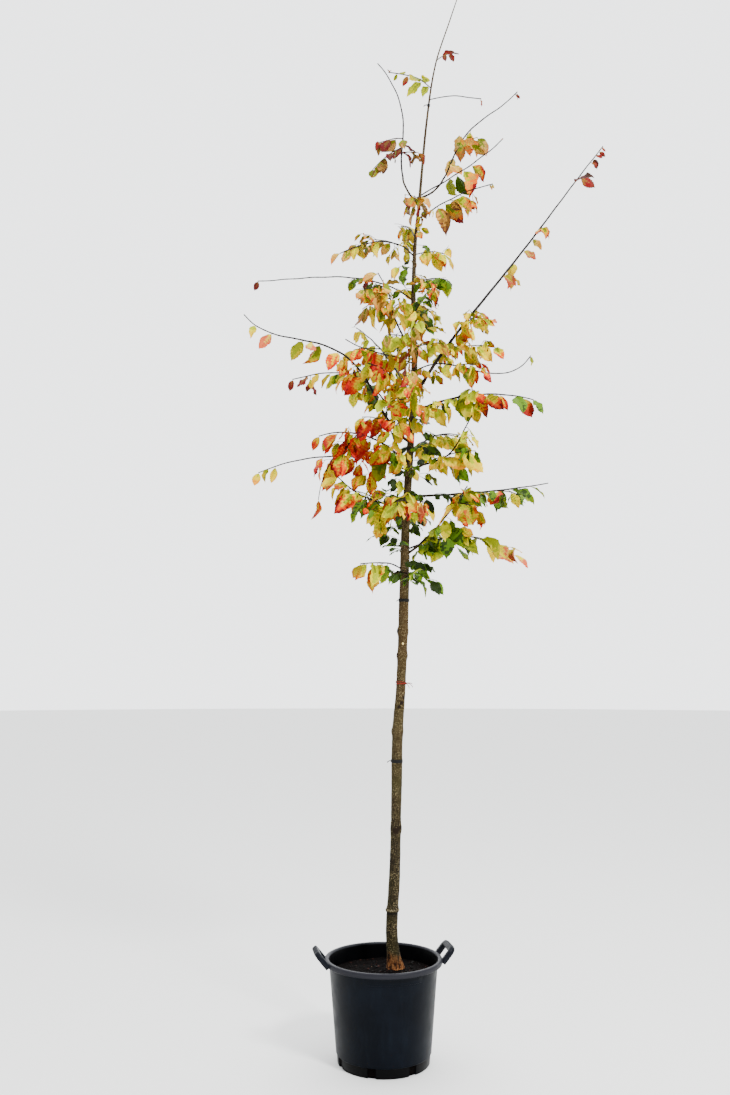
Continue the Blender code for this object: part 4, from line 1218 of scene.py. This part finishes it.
COLLAR_HEIGHT = 0.511
SCARS = (
    # height, heading, radius of the dark scars where old shoots stood
    (0.797, 268, 0.011),
    (0.806, 305, 0.008),
    (1.262, 292, 0.007),
    (1.248, 262, 0.006),
    (1.281, 318, 0.005),
    (0.690, 220, 0.006),
    (1.440, 200, 0.006),
    (1.530, 205, 0.008),
    (0.930, 120, 0.008),
    (2.100, 265, 0.005),
)
PALE_CUT = (1.483, 272, 0.0036)


def ring_mesh(name, rings):
    """A closed skin through rings of points, from the lowest to the highest."""
    sides = len(rings[0])
    points = [point for ring in rings for point in ring]
    faces = []
    for row in range(len(rings) - 1):
        low, high = row * sides, (row + 1) * sides
        faces += [
            (low + k, low + (k + 1) % sides, high + (k + 1) % sides, high + k)
            for k in range(sides)
        ]
    last = (len(rings) - 1) * sides
    faces.append(tuple(range(sides - 1, -1, -1)))
    faces.append(tuple(last + k for k in range(sides)))
    mesh = bpy.data.meshes.new(name)
    mesh.from_pydata(points, [], faces)
    mesh.shade_smooth()
    mesh.set_sharp_from_angle(angle=math.radians(60))
    return mesh


def flare(heading, height):
    """How far the roots stand out of the stem at a height over the soil."""
    reach = sum(
        stand * math.exp(-((((heading - lobe + 180) % 360 - 180) / half) ** 2))
        for lobe, stand, half in ROOT_LOBES
    )
    return reach * math.exp(-height / FLARE_HEIGHT)


def bark_relief(heading, height, radius):
    """Shallow furrows, bud rings, grain and the ridged collar, in metres out of the stem."""
    angle = math.radians(heading)
    around = Vector((math.cos(angle), math.sin(angle), 0.0))
    coarse = noise.noise(around * 1.6 + Vector((0, 0, height * 9.0)))
    grain = noise.noise(around * 7.0 + Vector((3.0, 0, height * 26.0)))
    rings = noise.noise(around * 0.7 + Vector((0, 7.0, height * 120.0)))
    lumps = noise.noise(around * 2.4 + Vector((5.0, 0, height * 48.0)))
    foot = math.exp(-(height - SOIL_TOP) / FLARE_HEIGHT)
    over = height - COLLAR_HEIGHT
    collar = 0.0020 * math.exp(-(((over - 0.002) / 0.0045) ** 2)) - 0.0022 * math.exp(
        -(((over + 0.009) / 0.0035) ** 2)
    )
    share = radius / TRUNK_STATIONS[0][3]
    return collar + foot * 0.0042 * lumps + share * (
        0.0013 * coarse + 0.0008 * grain + 0.00035 * rings
    )


def build_trunk():
    foot, top = SOIL_TOP + GAP, TRUNK_STATIONS[-1][0]
    count = round((top - foot) / TRUNK_RING)
    rings = []
    for row in range(count + 1):
        height = foot + (top - foot) * row / count
        centre, radius = trunk_at(height)
        for place, swell, half in TRUNK_SWELLINGS:
            radius += swell * math.exp(-(((height - place) / (1.1 * half)) ** 2))
        ring = []
        for k in range(TRUNK_SKIN_SIDES):
            heading = 360 * k / TRUNK_SKIN_SIDES
            out = radius + bark_relief(heading, height, radius) + flare(heading, height - foot)
            for place, where, stand, half in KNOTS:
                aside = math.radians((heading - where + 180) % 360 - 180) * radius
                away = math.hypot(aside, height - place) / half
                out += stand * math.exp(-(away**2)) * (1 - 0.5 * math.exp(-((2.6 * away) ** 2)))
            ring.append(centre + direction(heading, 0) * out)
        rings.append(ring)
    mesh = ring_mesh("trunk_bark", rings)
    mesh.materials.append(bark_material("trunk_bark", 1.0))
    dress(mesh_piece("trunk_bark", mesh), "bark", "trunk")


def bark_material(name, foot):
    """Olive brown bark with pale flecks, warmer up the stem, rusty where the roots spread."""
    nodes = Nodes(name)
    where = nodes.place()
    grain = nodes.noise(nodes.place((1.0, 1.0, 0.45)), 125.0, 6.0)
    height = nodes.node("ShaderNodeSeparateXYZ")
    nodes.put(height, "Vector", where)
    height = height.outputs["Z"]
    tone = nodes.mix(nodes.between(grain, 0.32, 0.70), srgb(12, 9, 5), srgb(42, 34, 19))
    upper = nodes.math("MULTIPLY", nodes.between(height, 0.75, 1.45), 0.40)
    tone = nodes.mix(upper, tone, srgb(80, 60, 31))
    young = nodes.math("MULTIPLY", nodes.between(height, 1.90, 2.60), 0.60)
    tone = nodes.mix(young, tone, srgb(34, 19, 11))
    moss = nodes.between(nodes.noise(where, 9.0), 0.42, 0.70)
    tone = nodes.mix(nodes.math("MULTIPLY", moss, 0.45), tone, srgb(54, 52, 24))
    speckle = nodes.noise(nodes.place((1.0, 1.0, 0.75)), 300.0, 2.0, 0.6)
    patches = nodes.noise(where, 24.0, 3.0)
    pale = nodes.math("MULTIPLY", nodes.between(height, 1.10, 1.20), nodes.between(height, 1.42, 1.33))
    cover = nodes.math("ADD", nodes.math("MULTIPLY", pale, 0.16), patches)
    flecks = nodes.math("MULTIPLY", nodes.spots(where, 235.0, 0.40), nodes.between(cover, 0.34, 0.60))
    if not foot:
        flecks = nodes.math("MULTIPLY", flecks, 0.40)
        tone = nodes.mix(0.55, tone, srgb(14, 11, 7))
    tone = nodes.mix(nodes.math("MULTIPLY", flecks, 0.70), tone, srgb(138, 124, 90))
    if foot:
        tone = scarred(nodes, where, tone)
        # a dark band in the groove under the collar's ridge: painted shade
        ring = nodes.math("ABSOLUTE", nodes.math("SUBTRACT", height, COLLAR_HEIGHT - 0.009))
        tone = nodes.mix(nodes.between(ring, 0.0060, 0.0025), tone, srgb(20, 17, 12))
        # a pale speckled band along the top of the collar's ridge: painted highlight
        ring = nodes.math("ABSOLUTE", nodes.math("SUBTRACT", height, COLLAR_HEIGHT + 0.003))
        collar_highlight = nodes.math("MULTIPLY", nodes.between(ring, 0.0050, 0.0020), nodes.between(speckle, 0.45, 0.62))
        tone = nodes.mix(collar_highlight, tone, srgb(128, 116, 90))
        ragged = nodes.math("ADD", height, nodes.math("MULTIPLY", patches, -0.090))
        low = nodes.between(ragged, 0.318, 0.288)
        rust = nodes.mix(nodes.between(speckle, 0.44, 0.60), srgb(88, 48, 22), srgb(136, 94, 56))
        rust = nodes.mix(nodes.between(grain, 0.56, 0.42), rust, srgb(36, 18, 8))
        tone = nodes.mix(low, tone, rust)
    nodes.shade("Base Color", tone)
    nodes.shade("Roughness", 0.86)
    nodes.shade("Specular IOR Level", 0.10)
    fine = nodes.bump(speckle, 0.5, 0.0010)
    nodes.shade("Normal", nodes.bump(grain, 0.35, 0.0025, fine))
    return nodes.material


def away_from(nodes, where, height, heading):
    """How far the surface lies from a place on the trunk's skin."""
    centre, around = trunk_at(height)
    away = nodes.node("ShaderNodeVectorMath")
    away.operation = "DISTANCE"
    nodes.tree.links.new(where, away.inputs[0])
    away.inputs[1].default_value = centre + direction(heading, 0) * around
    return away.outputs["Value"]


def scarred(nodes, where, tone):
    """The bark's tone with a ragged dark scar at each old shoot, and one fresh pale cut."""
    ragged = nodes.math("MULTIPLY", nodes.noise(where, 130.0, 3.0), 0.012)
    for height, heading, radius in SCARS:
        reach = nodes.math("ADD", away_from(nodes, where, height, heading), ragged)
        tone = nodes.mix(nodes.between(reach, radius + 0.0085, radius + 0.0045), tone, srgb(26, 17, 10))
    height, heading, radius = PALE_CUT
    reach = away_from(nodes, where, height, heading)
    return nodes.mix(nodes.between(reach, radius + 0.001, radius), tone, srgb(214, 190, 122))


POT_SKIN_STEPS = 144
PANEL_FROM = -107.0
PANEL_TO = -49.0
PANEL_DEPTH = 0.027
PANEL_PROUD = 0.002
NOTCH_HEADING = -50.0
NOTCH_SIZE = (0.005, 0.017, 0.006)


def arc(centre, radius, start, end, steps):
    """Points of an arc in the outline's plane, as (distance from the axis, height)."""
    angles = [math.radians(start + (end - start) * k / steps) for k in range(steps + 1)]
    return [(centre[0] + radius * math.cos(a), centre[1] + radius * math.sin(a)) for a in angles]


def wall_radius(height):
    """The pot's outer radius at a height between its foot band and its lip."""
    slope = (POT_SHOULDER_RADIUS - POT_FOOT_RADIUS) / (POT_HEIGHT - LIP_DEPTH - FOOT_BAND)
    return POT_FOOT_RADIUS + slope * (height - FOOT_BAND)


def pot_outline():
    """From the floor's middle up the inside, over the lip and down to the underside's middle."""
    low = POT_HEIGHT - LIP_DEPTH
    inner = POT_SHOULDER_RADIUS - POT_WALL
    outline = [(0.001, POT_FLOOR), (POT_BASE_RADIUS - POT_WALL, POT_FLOOR)]
    outline += [(POT_FOOT_RADIUS - POT_WALL, FOOT_BAND), (inner, low)]
    outline += arc((POT_SHOULDER_RADIUS + 0.006, POT_HEIGHT - 0.006), 0.006, 180, 90, 5)
    outline += arc((POT_RIM_RADIUS - 0.006, POT_HEIGHT - 0.006), 0.006, 90, 0, 5)
    outline += arc((POT_RIM_RADIUS - 0.003, low + 0.003), 0.003, 0, -90, 3)
    outline += [(POT_SHOULDER_RADIUS + 0.003, low)]
    for height in (low - 0.002, low - 0.010, low - 0.018, low - PANEL_DEPTH + 0.001,
                   low - PANEL_DEPTH, low - PANEL_DEPTH - 0.006, low - 0.06, low - 0.12,
                   low - 0.18, low - 0.24, FOOT_BAND + 0.006, FOOT_BAND):
        outline.append((wall_radius(height), height))
    outline += [(POT_FOOT_RADIUS - 0.0026, FOOT_BAND - 0.0022), (POT_FOOT_RADIUS - 0.003, FOOT_BAND - 0.006)]
    outline += arc((POT_BASE_RADIUS - 0.003, 0.003), 0.003, 0, -90, 3)
    outline += [(0.001, 0.0)]
    return outline


def turned(name, outline, steps, proud=None):
    """A solid of revolution, with the skin moved out where proud says so."""
    rings = []
    for radius, height in outline:
        ring = []
        for k in range(steps):
            heading = 360 * k / steps
            out = radius + (proud(radius, height, heading) if proud else 0.0)
            ring.append(direction(heading, 0) * out + UP * height)
        rings.append(ring)
    return ring_mesh(name, rings)


def panel_proud(radius, height, heading):
    """The shallow panel under the lip at the front, and the wall's slight unevenness."""
    if height > POT_HEIGHT - 0.5 * LIP_DEPTH or radius < POT_FOOT_RADIUS - POT_WALL / 2:
        return 0.0
    around = direction(heading, 0)
    uneven = 0.0006 * noise.noise(around * 2.2 + UP * (height * 6.0))
    low = POT_HEIGHT - LIP_DEPTH
    turn = (heading + 180) % 360 - 180
    inside = PANEL_FROM <= turn <= PANEL_TO and low - PANEL_DEPTH + 0.0005 < height < low - 0.0001
    wall = radius <= POT_SHOULDER_RADIUS + 0.0001
    return uneven + (PANEL_PROUD if inside and wall else 0.0)


def handle_points(heading):
    """A flat U with a grip of small bumps, rising outwards from under the lip."""
    half = HANDLE_SPAN / 2 - HANDLE_BAR / 2
    reach = HANDLE_REACH - HANDLE_BAR / 2
    corner = 0.014
    path = [(0.0, -half), (0.6 * (reach - corner), -half), (reach - corner, -half)]
    path += [
        (reach - corner + corner * math.sin(a), -half + corner - corner * math.cos(a))
        for a in (math.radians(30), math.radians(60), math.radians(90))
    ]
    count = 28
    path += [(reach, (half - corner) * (2 * (k + 0.5) / count - 1)) for k in range(count)]
    path += [
        (reach - corner + corner * math.cos(a), half - corner + corner * math.sin(a))
        for a in (math.radians(0), math.radians(30), math.radians(60), math.radians(90))
    ]
    path += [(0.6 * (reach - corner), half), (0.0, half)]
    start = direction(heading, 0) * HANDLE_START_RADIUS + UP * (POT_HEIGHT - HANDLE_START_DROP)
    frame = (
        Matrix.Translation(start)
        @ Matrix.Rotation(math.radians(heading), 4, "Z")
        @ Matrix.Rotation(-math.radians(HANDLE_RISE), 4, "Y")
    )
    return path, frame, half - corner


def build_handle(heading, pile):
    path, frame, grip = handle_points(heading)
    sides = 12
    ring_points, faces = [], []
    for index, (out, across) in enumerate(path):
        a, b = path[max(index - 1, 0)], path[min(index + 1, len(path) - 1)]
        ahead = Vector((b[0] - a[0], b[1] - a[1], 0.0)).normalized()
        aside = Vector((-ahead.y, ahead.x, 0.0))
        on_grip = abs(across) < grip and out > HANDLE_REACH / 2
        bump = 0.0012 * math.cos(math.tau * across / 0.0135) if on_grip else 0.0
        for k in range(sides):
            angle = math.tau * k / sides
            flat, thick = math.cos(angle), math.sin(angle)
            wide = math.copysign(abs(flat) ** 0.5, flat) * (HANDLE_BAR / 2 - 0.0008 + bump)
            deep = math.copysign(abs(thick) ** 0.6, thick) * HANDLE_THICKNESS / 2
            ring_points.append(frame @ (Vector((out, across, deep)) + aside * wide))
    for index in range(len(path) - 1):
        low, high = index * sides, (index + 1) * sides
        faces += [
            (low + k, low + (k + 1) % sides, high + (k + 1) % sides, high + k)
            for k in range(sides)
        ]
    last = (len(path) - 1) * sides
    faces.append(tuple(range(sides - 1, -1, -1)))
    faces.append(tuple(last + k for k in range(sides)))
    pile.add(ring_points, faces, 0)


def cut_by_boxes(obj, boxes):
    for index, matrix in enumerate(boxes):
        bm = bmesh.new()
        bmesh.ops.create_cube(bm, size=1.0)
        bmesh.ops.transform(bm, matrix=matrix, verts=bm.verts)
        mesh = bpy.data.meshes.new("slot")
        bm.to_mesh(mesh)
        bm.free()
        helper = mesh_piece(f"slot_{index}", mesh)
        modifier = obj.modifiers.new("slot", "BOOLEAN")
        modifier.operation = "DIFFERENCE"
        modifier.object = helper
        modifier.solver = "EXACT"
        graph = bpy.context.evaluated_depsgraph_get()
        cut = bpy.data.meshes.new_from_object(obj.evaluated_get(graph))
        obj.modifiers.clear()
        obj.data = cut
        bpy.data.objects.remove(helper)


def drain_box(index):
    heading = FIRST_DRAIN_HEADING + 360 * index / DRAIN_COUNT
    middle = direction(heading, 0) * POT_BASE_RADIUS + UP * (DRAIN_HEIGHT / 2 - 0.001)
    turn = Matrix.Rotation(math.radians(heading), 4, "Z")
    size = Matrix.Diagonal((DRAIN_DEPTH, DRAIN_WIDTH, DRAIN_HEIGHT + 0.002, 1.0))
    return Matrix.Translation(middle) @ turn @ size


def notch_box():
    """The box that cuts the small notch under the lip, at the panel's right end."""
    middle = direction(NOTCH_HEADING, 0) * POT_SHOULDER_RADIUS + UP * (POT_HEIGHT - LIP_DEPTH - 0.004)
    turn = Matrix.Rotation(math.radians(NOTCH_HEADING), 4, "Z")
    return Matrix.Translation(middle) @ turn @ Matrix.Diagonal((*NOTCH_SIZE, 1.0))


def build_pot():
    mesh = turned("pot_skin", pot_outline(), POT_SKIN_STEPS, panel_proud)
    # the outer skin takes most of the lip's painted reflection
    mesh.materials.append(pot_material("pot_skin", 0.85, POT_TONES))
    # the inner wall darker than the outer skin: painted shade within the pot
    mesh.materials.append(pot_material("pot_inside", 0.0, INSIDE_SHADE_TONES))
    for face in mesh.polygons:
        radius, height = face.center.xy.length, face.center.z
        inside = radius < wall_radius(height) - POT_WALL / 2
        if inside and POT_FLOOR / 2 < height < POT_HEIGHT - LIP_REFLECTION_EDGE:
            face.material_index = 1
    pot = mesh_piece("pot_skin", mesh)
    cut_by_boxes(pot, [drain_box(index) for index in range(DRAIN_COUNT)] + [notch_box()])
    pot.data.set_sharp_from_angle(angle=math.radians(40))
    dress(pot, "pot_plastic", "pot")
    pile = Pile()
    for heading in HANDLE_HEADINGS:
        build_handle(heading, pile)
    # the handles take a little of the lip's painted reflection where they rise above the lip
    handles = pile.piece("pot_handles", [pot_material("pot_handles", 0.25, POT_TONES)])
    dress(handles, "pot_plastic")


POT_TONES = (srgb(0, 3, 10), srgb(22, 31, 43))
# the inside's near black tones: painted shade within the pot
INSIDE_SHADE_TONES = (srgb(0, 0, 1), srgb(8, 9, 11))
# the lip's greyer tone: a painted reflection of the pale surroundings
LIP_REFLECTION_TONE = srgb(38, 38, 43)
# the top of the inner wall keeps the outer skin, with the lip's painted reflection
LIP_REFLECTION_EDGE = 0.004


def pot_material(name, lip_reflection, tones):
    """Blue black plastic, half matt, faintly dusty and scuffed, greyer on the lip as a painted reflection of
    the pale surroundings.
    """
    nodes = Nodes(name)
    where = nodes.place()
    dust = nodes.between(nodes.noise(where, 7.0, 6.0), 0.46, 0.84)
    streaks = nodes.between(nodes.noise(nodes.place((1.0, 1.0, 0.12)), 38.0), 0.54, 0.88)
    height = nodes.node("ShaderNodeSeparateXYZ")
    nodes.put(height, "Vector", where)
    lip = nodes.between(height.outputs["Z"], POT_HEIGHT - LIP_DEPTH - 0.001, POT_HEIGHT - LIP_DEPTH + 0.004)
    grime = nodes.math("MULTIPLY", nodes.math("ADD", dust, streaks), 0.24)
    skin = nodes.mix(grime, *tones)
    # the lip mixed towards grey: painted reflection
    nodes.shade("Base Color", nodes.mix(nodes.math("MULTIPLY", lip, lip_reflection), skin, LIP_REFLECTION_TONE))
    nodes.shade("Roughness", nodes.between(nodes.noise(where, 30.0), -0.9, 2.6))
    nodes.shade("Specular IOR Level", 0.06)
    fine = nodes.bump(nodes.noise(where, 900.0, 2.0), 0.10, 0.0004)
    nodes.shade("Normal", nodes.bump(nodes.noise(where, 11.0, 2.0), 0.20, 0.0040, fine))
    return nodes.material


SOIL_RINGS = 46
SOIL_SIDES = 110
CRUMBS = 520


def build_soil():
    """Damp, lumpy, nearly black potting soil with crumbs and chips of bark."""
    edge_height = SOIL_TOP - SOIL_EDGE_DROP
    wall = 3 * GAP + POT_WALL
    edge = wall_radius(edge_height) - wall
    outline = [(POT_BASE_RADIUS - wall, POT_FLOOR + GAP), (POT_FOOT_RADIUS - wall, FOOT_BAND + GAP)]
    for row in range(SOIL_RINGS):
        radius = edge + (0.002 - edge) * row / (SOIL_RINGS - 1)
        outline.append((radius, soil_height(radius, edge)))
    mesh = turned("soil_top", outline, SOIL_SIDES)
    for vert in mesh.vertices:
        radius = math.hypot(vert.co.x, vert.co.y)
        if vert.co.z > SOIL_TOP - 0.02 and radius < edge - 0.001:
            lump = noise.noise(vert.co * 34.0) * 0.0035 + noise.noise(vert.co * 110.0) * 0.0026
            lump += abs(noise.noise(vert.co * 210.0)) * 0.0016
            vert.co.z += min(max(lump, -0.003), 0.006)
    mesh.materials.append(soil_material())
    dress(mesh_piece("soil_top", mesh), "soil", "soil")
    crumbs = Pile()
    rng = random.Random("crumbs")
    for _ in range(CRUMBS):
        radius = math.sqrt(rng.random()) * (edge - 0.006)
        spot = direction(rng.uniform(0, 360), 0) * radius
        size = rng.uniform(0.0010, 0.0036) * (1.7 if rng.random() < 0.08 else 1.0)
        add_crumb(crumbs, spot + UP * (soil_height(radius, edge) + size * 0.35), size, rng)
    tints = [plain("soil_dark", (5, 3, 2)), plain("soil_bark", (42, 16, 9)),
             plain("soil_fleck", (92, 74, 58))]
    dress(crumbs.piece("soil_crumbs", tints), "soil")


def soil_height(radius, edge):
    away = max(radius - SOIL_FLAT_RADIUS, 0.0) / (edge - SOIL_FLAT_RADIUS)
    return SOIL_TOP - SOIL_EDGE_DROP * away


def add_crumb(pile, spot, size, rng):
    """A small angular lump: an uneven cube with its corners pushed about."""
    corners = [Vector((x, y, z)) for x in (-1, 1) for y in (-1, 1) for z in (-1, 1)]
    turn = Matrix.Rotation(rng.uniform(0, math.tau), 3, "Z") @ Matrix.Rotation(rng.uniform(-0.6, 0.6), 3, "X")
    long = rng.uniform(0.7, 1.5)
    points = []
    for corner in corners:
        pushed = Vector((corner.x * long, corner.y, corner.z * 0.55)) * rng.uniform(0.45, 0.8)
        points.append(spot + turn @ pushed * size)
    faces = [(0, 1, 3, 2), (4, 6, 7, 5), (0, 4, 5, 1), (2, 3, 7, 6), (0, 2, 6, 4), (1, 5, 7, 3)]
    pile.add(points, faces, rng.choices((0, 1, 2), (0.80, 0.17, 0.03))[0])


def plain(name, colour, rough=0.85):
    nodes = Nodes(name)
    nodes.shade("Base Color", srgb(*colour))
    nodes.shade("Roughness", rough)
    nodes.shade("Specular IOR Level", 0.15)
    nodes.shade("Normal", nodes.bump(nodes.noise(nodes.place(), 300.0), 0.6, 0.0010))
    return nodes.material


def soil_material():
    nodes = Nodes("soil_top")
    where = nodes.place()
    tone = nodes.mix(
        nodes.between(nodes.noise(where, 60.0, 8.0, 0.7), 0.35, 0.70), srgb(2, 1, 1), srgb(8, 4, 3)
    )
    nodes.shade("Base Color", tone)
    nodes.shade("Roughness", 0.93)
    nodes.shade("Specular IOR Level", 0.04)
    fine = nodes.bump(nodes.noise(where, 700.0, 6.0, 0.7), 0.8, 0.0012)
    nodes.shade("Normal", nodes.bump(nodes.noise(where, 150.0, 6.0, 0.7), 0.8, 0.0040, fine))
    return nodes.material


def tilted_to_trunk(height):
    below, above = trunk_at(height - 0.02)[0], trunk_at(height + 0.02)[0]
    turn = UP.rotation_difference(above - below).to_matrix().to_4x4()
    return Matrix.Translation(trunk_at(height)[0]) @ turn


def build_ties():
    """Flat rubber bands, snug round the stem, each with a short free end."""
    skin = plain("tie_rubber", (14, 14, 14), 0.7)
    for name, height in TIES:
        frame = tilted_to_trunk(height)
        snug = trunk_at(height)[1] + 0.0005
        rng = random.Random(name)
        pile = Pile()
        steps = 44
        points = []
        for k in range(steps):
            heading = 360 * k / steps
            lean = 0.0012 * math.sin(math.radians(heading + rng.random() * 3))
            for out, over in ((0, -1), (1, -0.85), (1, 0.85), (0, 1)):
                radius = snug + out * (TIE_THICKNESS - 0.0006)
                lift = over * (TIE_HEIGHT / 2 - 0.0006) + lean
                points.append(frame @ (direction(heading, 0) * radius + UP * lift))
        faces = []
        for k in range(steps):
            low, high = 4 * k, 4 * ((k + 1) % steps)
            faces += [(low + c, high + c, high + (c + 1) % 4, low + (c + 1) % 4) for c in range(4)]
        pile.add(points, faces, 0)
        where = rng.uniform(190, 240)
        start = frame @ (direction(where, 0) * (snug + 0.001))
        tail = [start]
        for rise in (5, -20, -50):
            tail.append(tail[-1] + direction(where - 30, rise) * 0.006)
        vertices, sides = sweep(tail, [0.0022, 0.0020, 0.0018, 0.0014], 6)
        pile.add(vertices, sides, 0)
        dress(pile.piece(f"{name}_band", [skin]), "tie_rubber", name)


TWINE_TURNS = (
    # how far above the middle, how far each turn slopes
    (0.0000, 0.0010),
    (0.0034, -0.0026),
    (-0.0036, 0.0034),
    (0.0012, -0.0044),
)
TWINE_ENDS = (
    # turn aside, rise at the knot, rise at the tip, length
    (-18.0, 15.0, -25.0, 0.034),
    (22.0, 10.0, -70.0, 0.032),
    (6.0, -30.0, -80.0, 0.024),
)


def build_twine():
    """Four turns of red twine that cross, a knot and three loose ends."""
    skin = plain("twine", (118, 36, 28), 0.9)
    frame = tilted_to_trunk(TWINE_HEIGHT)
    radius = trunk_at(TWINE_HEIGHT)[1] + TWINE_RADIUS * 0.8
    count = 40
    pile = Pile()
    for layer, (lift_all, slope) in enumerate(TWINE_TURNS):
        for strand in (0, 1):
            loop = []
            for k in range(count + 1):
                angle = 360 * k / count + TWINE_HEADING
                twist = math.tau * 14 * k / count + math.pi * strand
                out = radius + 0.0004 * math.cos(twist) + 0.0005 * (layer % 2)
                lift = lift_all + 0.0005 * math.sin(twist) + slope * math.sin(math.radians(angle + 60 * layer))
                loop.append(frame @ (direction(angle, 0) * out + UP * lift))
            vertices, faces = sweep(loop, [TWINE_RADIUS * 0.62] * len(loop), 6)
            pile.add(vertices, faces, 0)
    knot = frame @ (direction(TWINE_HEADING, 0) * (radius + 0.001))
    for turn in (0, 60, 120):
        ring = []
        axis = Matrix.Rotation(math.radians(turn), 3, direction(TWINE_HEADING, 0))
        for k in range(13):
            angle = math.tau * k / 12
            side = direction(TWINE_HEADING + 90, 0)
            ring.append(knot + axis @ (side * (0.0034 * math.cos(angle)))
                        + direction(TWINE_HEADING, 0) * (0.0024 * math.sin(angle)))
        vertices, faces = sweep(ring, [TWINE_RADIUS * 0.75] * len(ring), 6)
        pile.add(vertices, faces, 0)
    for turn, rise, tip_rise, length in TWINE_ENDS:
        points = limb_path(knot, TWINE_HEADING + turn, rise, tip_rise, 0.0, 0.0, length, f"end {turn}")
        path, widths = smoothed(points, tapered(TWINE_RADIUS, TWINE_RADIUS * 0.7, len(points)), 0.003)
        vertices, faces = sweep(path, widths, 7)
        pile.add(vertices, faces, 0)
    dress(pile.piece("twine_loop", [skin]), "twine", "twine")


SKY_FRONT = 0.5
SKY_BACK = 3.2
SKY_OVERHEAD = 2.5
SKY_TURNS = (
    # axis, the direction's share along it where the change starts and ends, brightness at each
    ("Y", -0.30, 0.75, SKY_FRONT, SKY_BACK),
    ("Z", 0.62, 0.95, 0.0, SKY_OVERHEAD),
)


def build_sky():
    """A pale sky, brighter behind the tree and brightest overhead."""
    world = bpy.data.worlds.new("sky")
    world.use_nodes = True
    bpy.context.scene.world = world
    tree = world.node_tree
    where = tree.nodes.new("ShaderNodeTexCoord")
    split = tree.nodes.new("ShaderNodeSeparateXYZ")
    tree.links.new(where.outputs["Generated"], split.inputs["Vector"])
    total = tree.nodes.new("ShaderNodeMath")
    for index, (axis, start, end, first, last) in enumerate(SKY_TURNS):
        turn = tree.nodes.new("ShaderNodeMapRange")
        turn.clamp = True
        turn.interpolation_type = "SMOOTHSTEP"
        turn.inputs["From Min"].default_value = start
        turn.inputs["From Max"].default_value = end
        turn.inputs["To Min"].default_value = first
        turn.inputs["To Max"].default_value = last
        tree.links.new(split.outputs[axis], turn.inputs["Value"])
        tree.links.new(turn.outputs["Result"], total.inputs[index])
    back = tree.nodes["Background"]
    back.inputs["Color"].default_value = (0.97, 0.985, 1.0, 1.0)
    tree.links.new(total.outputs["Value"], back.inputs["Strength"])


def build_stage():
    """A wide pale floor under soft light from the sides, the front and the sky."""
    bm = bmesh.new()
    bmesh.ops.create_circle(bm, cap_ends=True, segments=128, radius=40.0)
    mesh = bpy.data.meshes.new("floor")
    bm.to_mesh(mesh)
    bm.free()
    nodes = Nodes("floor")
    nodes.shade("Base Color", srgb(240, 240, 238))
    nodes.shade("Roughness", 0.9)
    mesh.materials.append(nodes.material)
    floor = mesh_piece("floor", mesh)
    floor.location.z = -0.0005
    build_sky()
    for name, place, aim, size, power in (
        ("key_right", (2.7, -3.6, 4.9), (0.1, 0, 2.7), 1.0, 520),
        ("fill_left", (-4.2, -2.4, 3.2), (0.1, 0, 2.2), 2.0, 20),
    ):
        light = bpy.data.lights.new(name, "AREA")
        light.size = size
        light.energy = power
        obj = bpy.data.objects.new(name, light)
        bpy.context.scene.collection.objects.link(obj)
        obj.location = place
        obj.rotation_euler = (Vector(aim) - Vector(place)).to_track_quat("-Z", "Y").to_euler()
    data = bpy.data.cameras.new("camera")
    data.lens = 32.15
    data.sensor_width = 36.0
    camera = bpy.data.objects.new("camera", data)
    bpy.context.scene.collection.objects.link(camera)
    camera.location = (0.0, -3.7, 1.357)
    camera.rotation_euler = (math.pi / 2 + 0.132, 0.0, 0.018)
    bpy.context.scene.camera = camera


def main():
    build_pot()
    build_soil()
    build_trunk()
    build_ties()
    build_twine()
    build_crown()
    build_stage()


main()
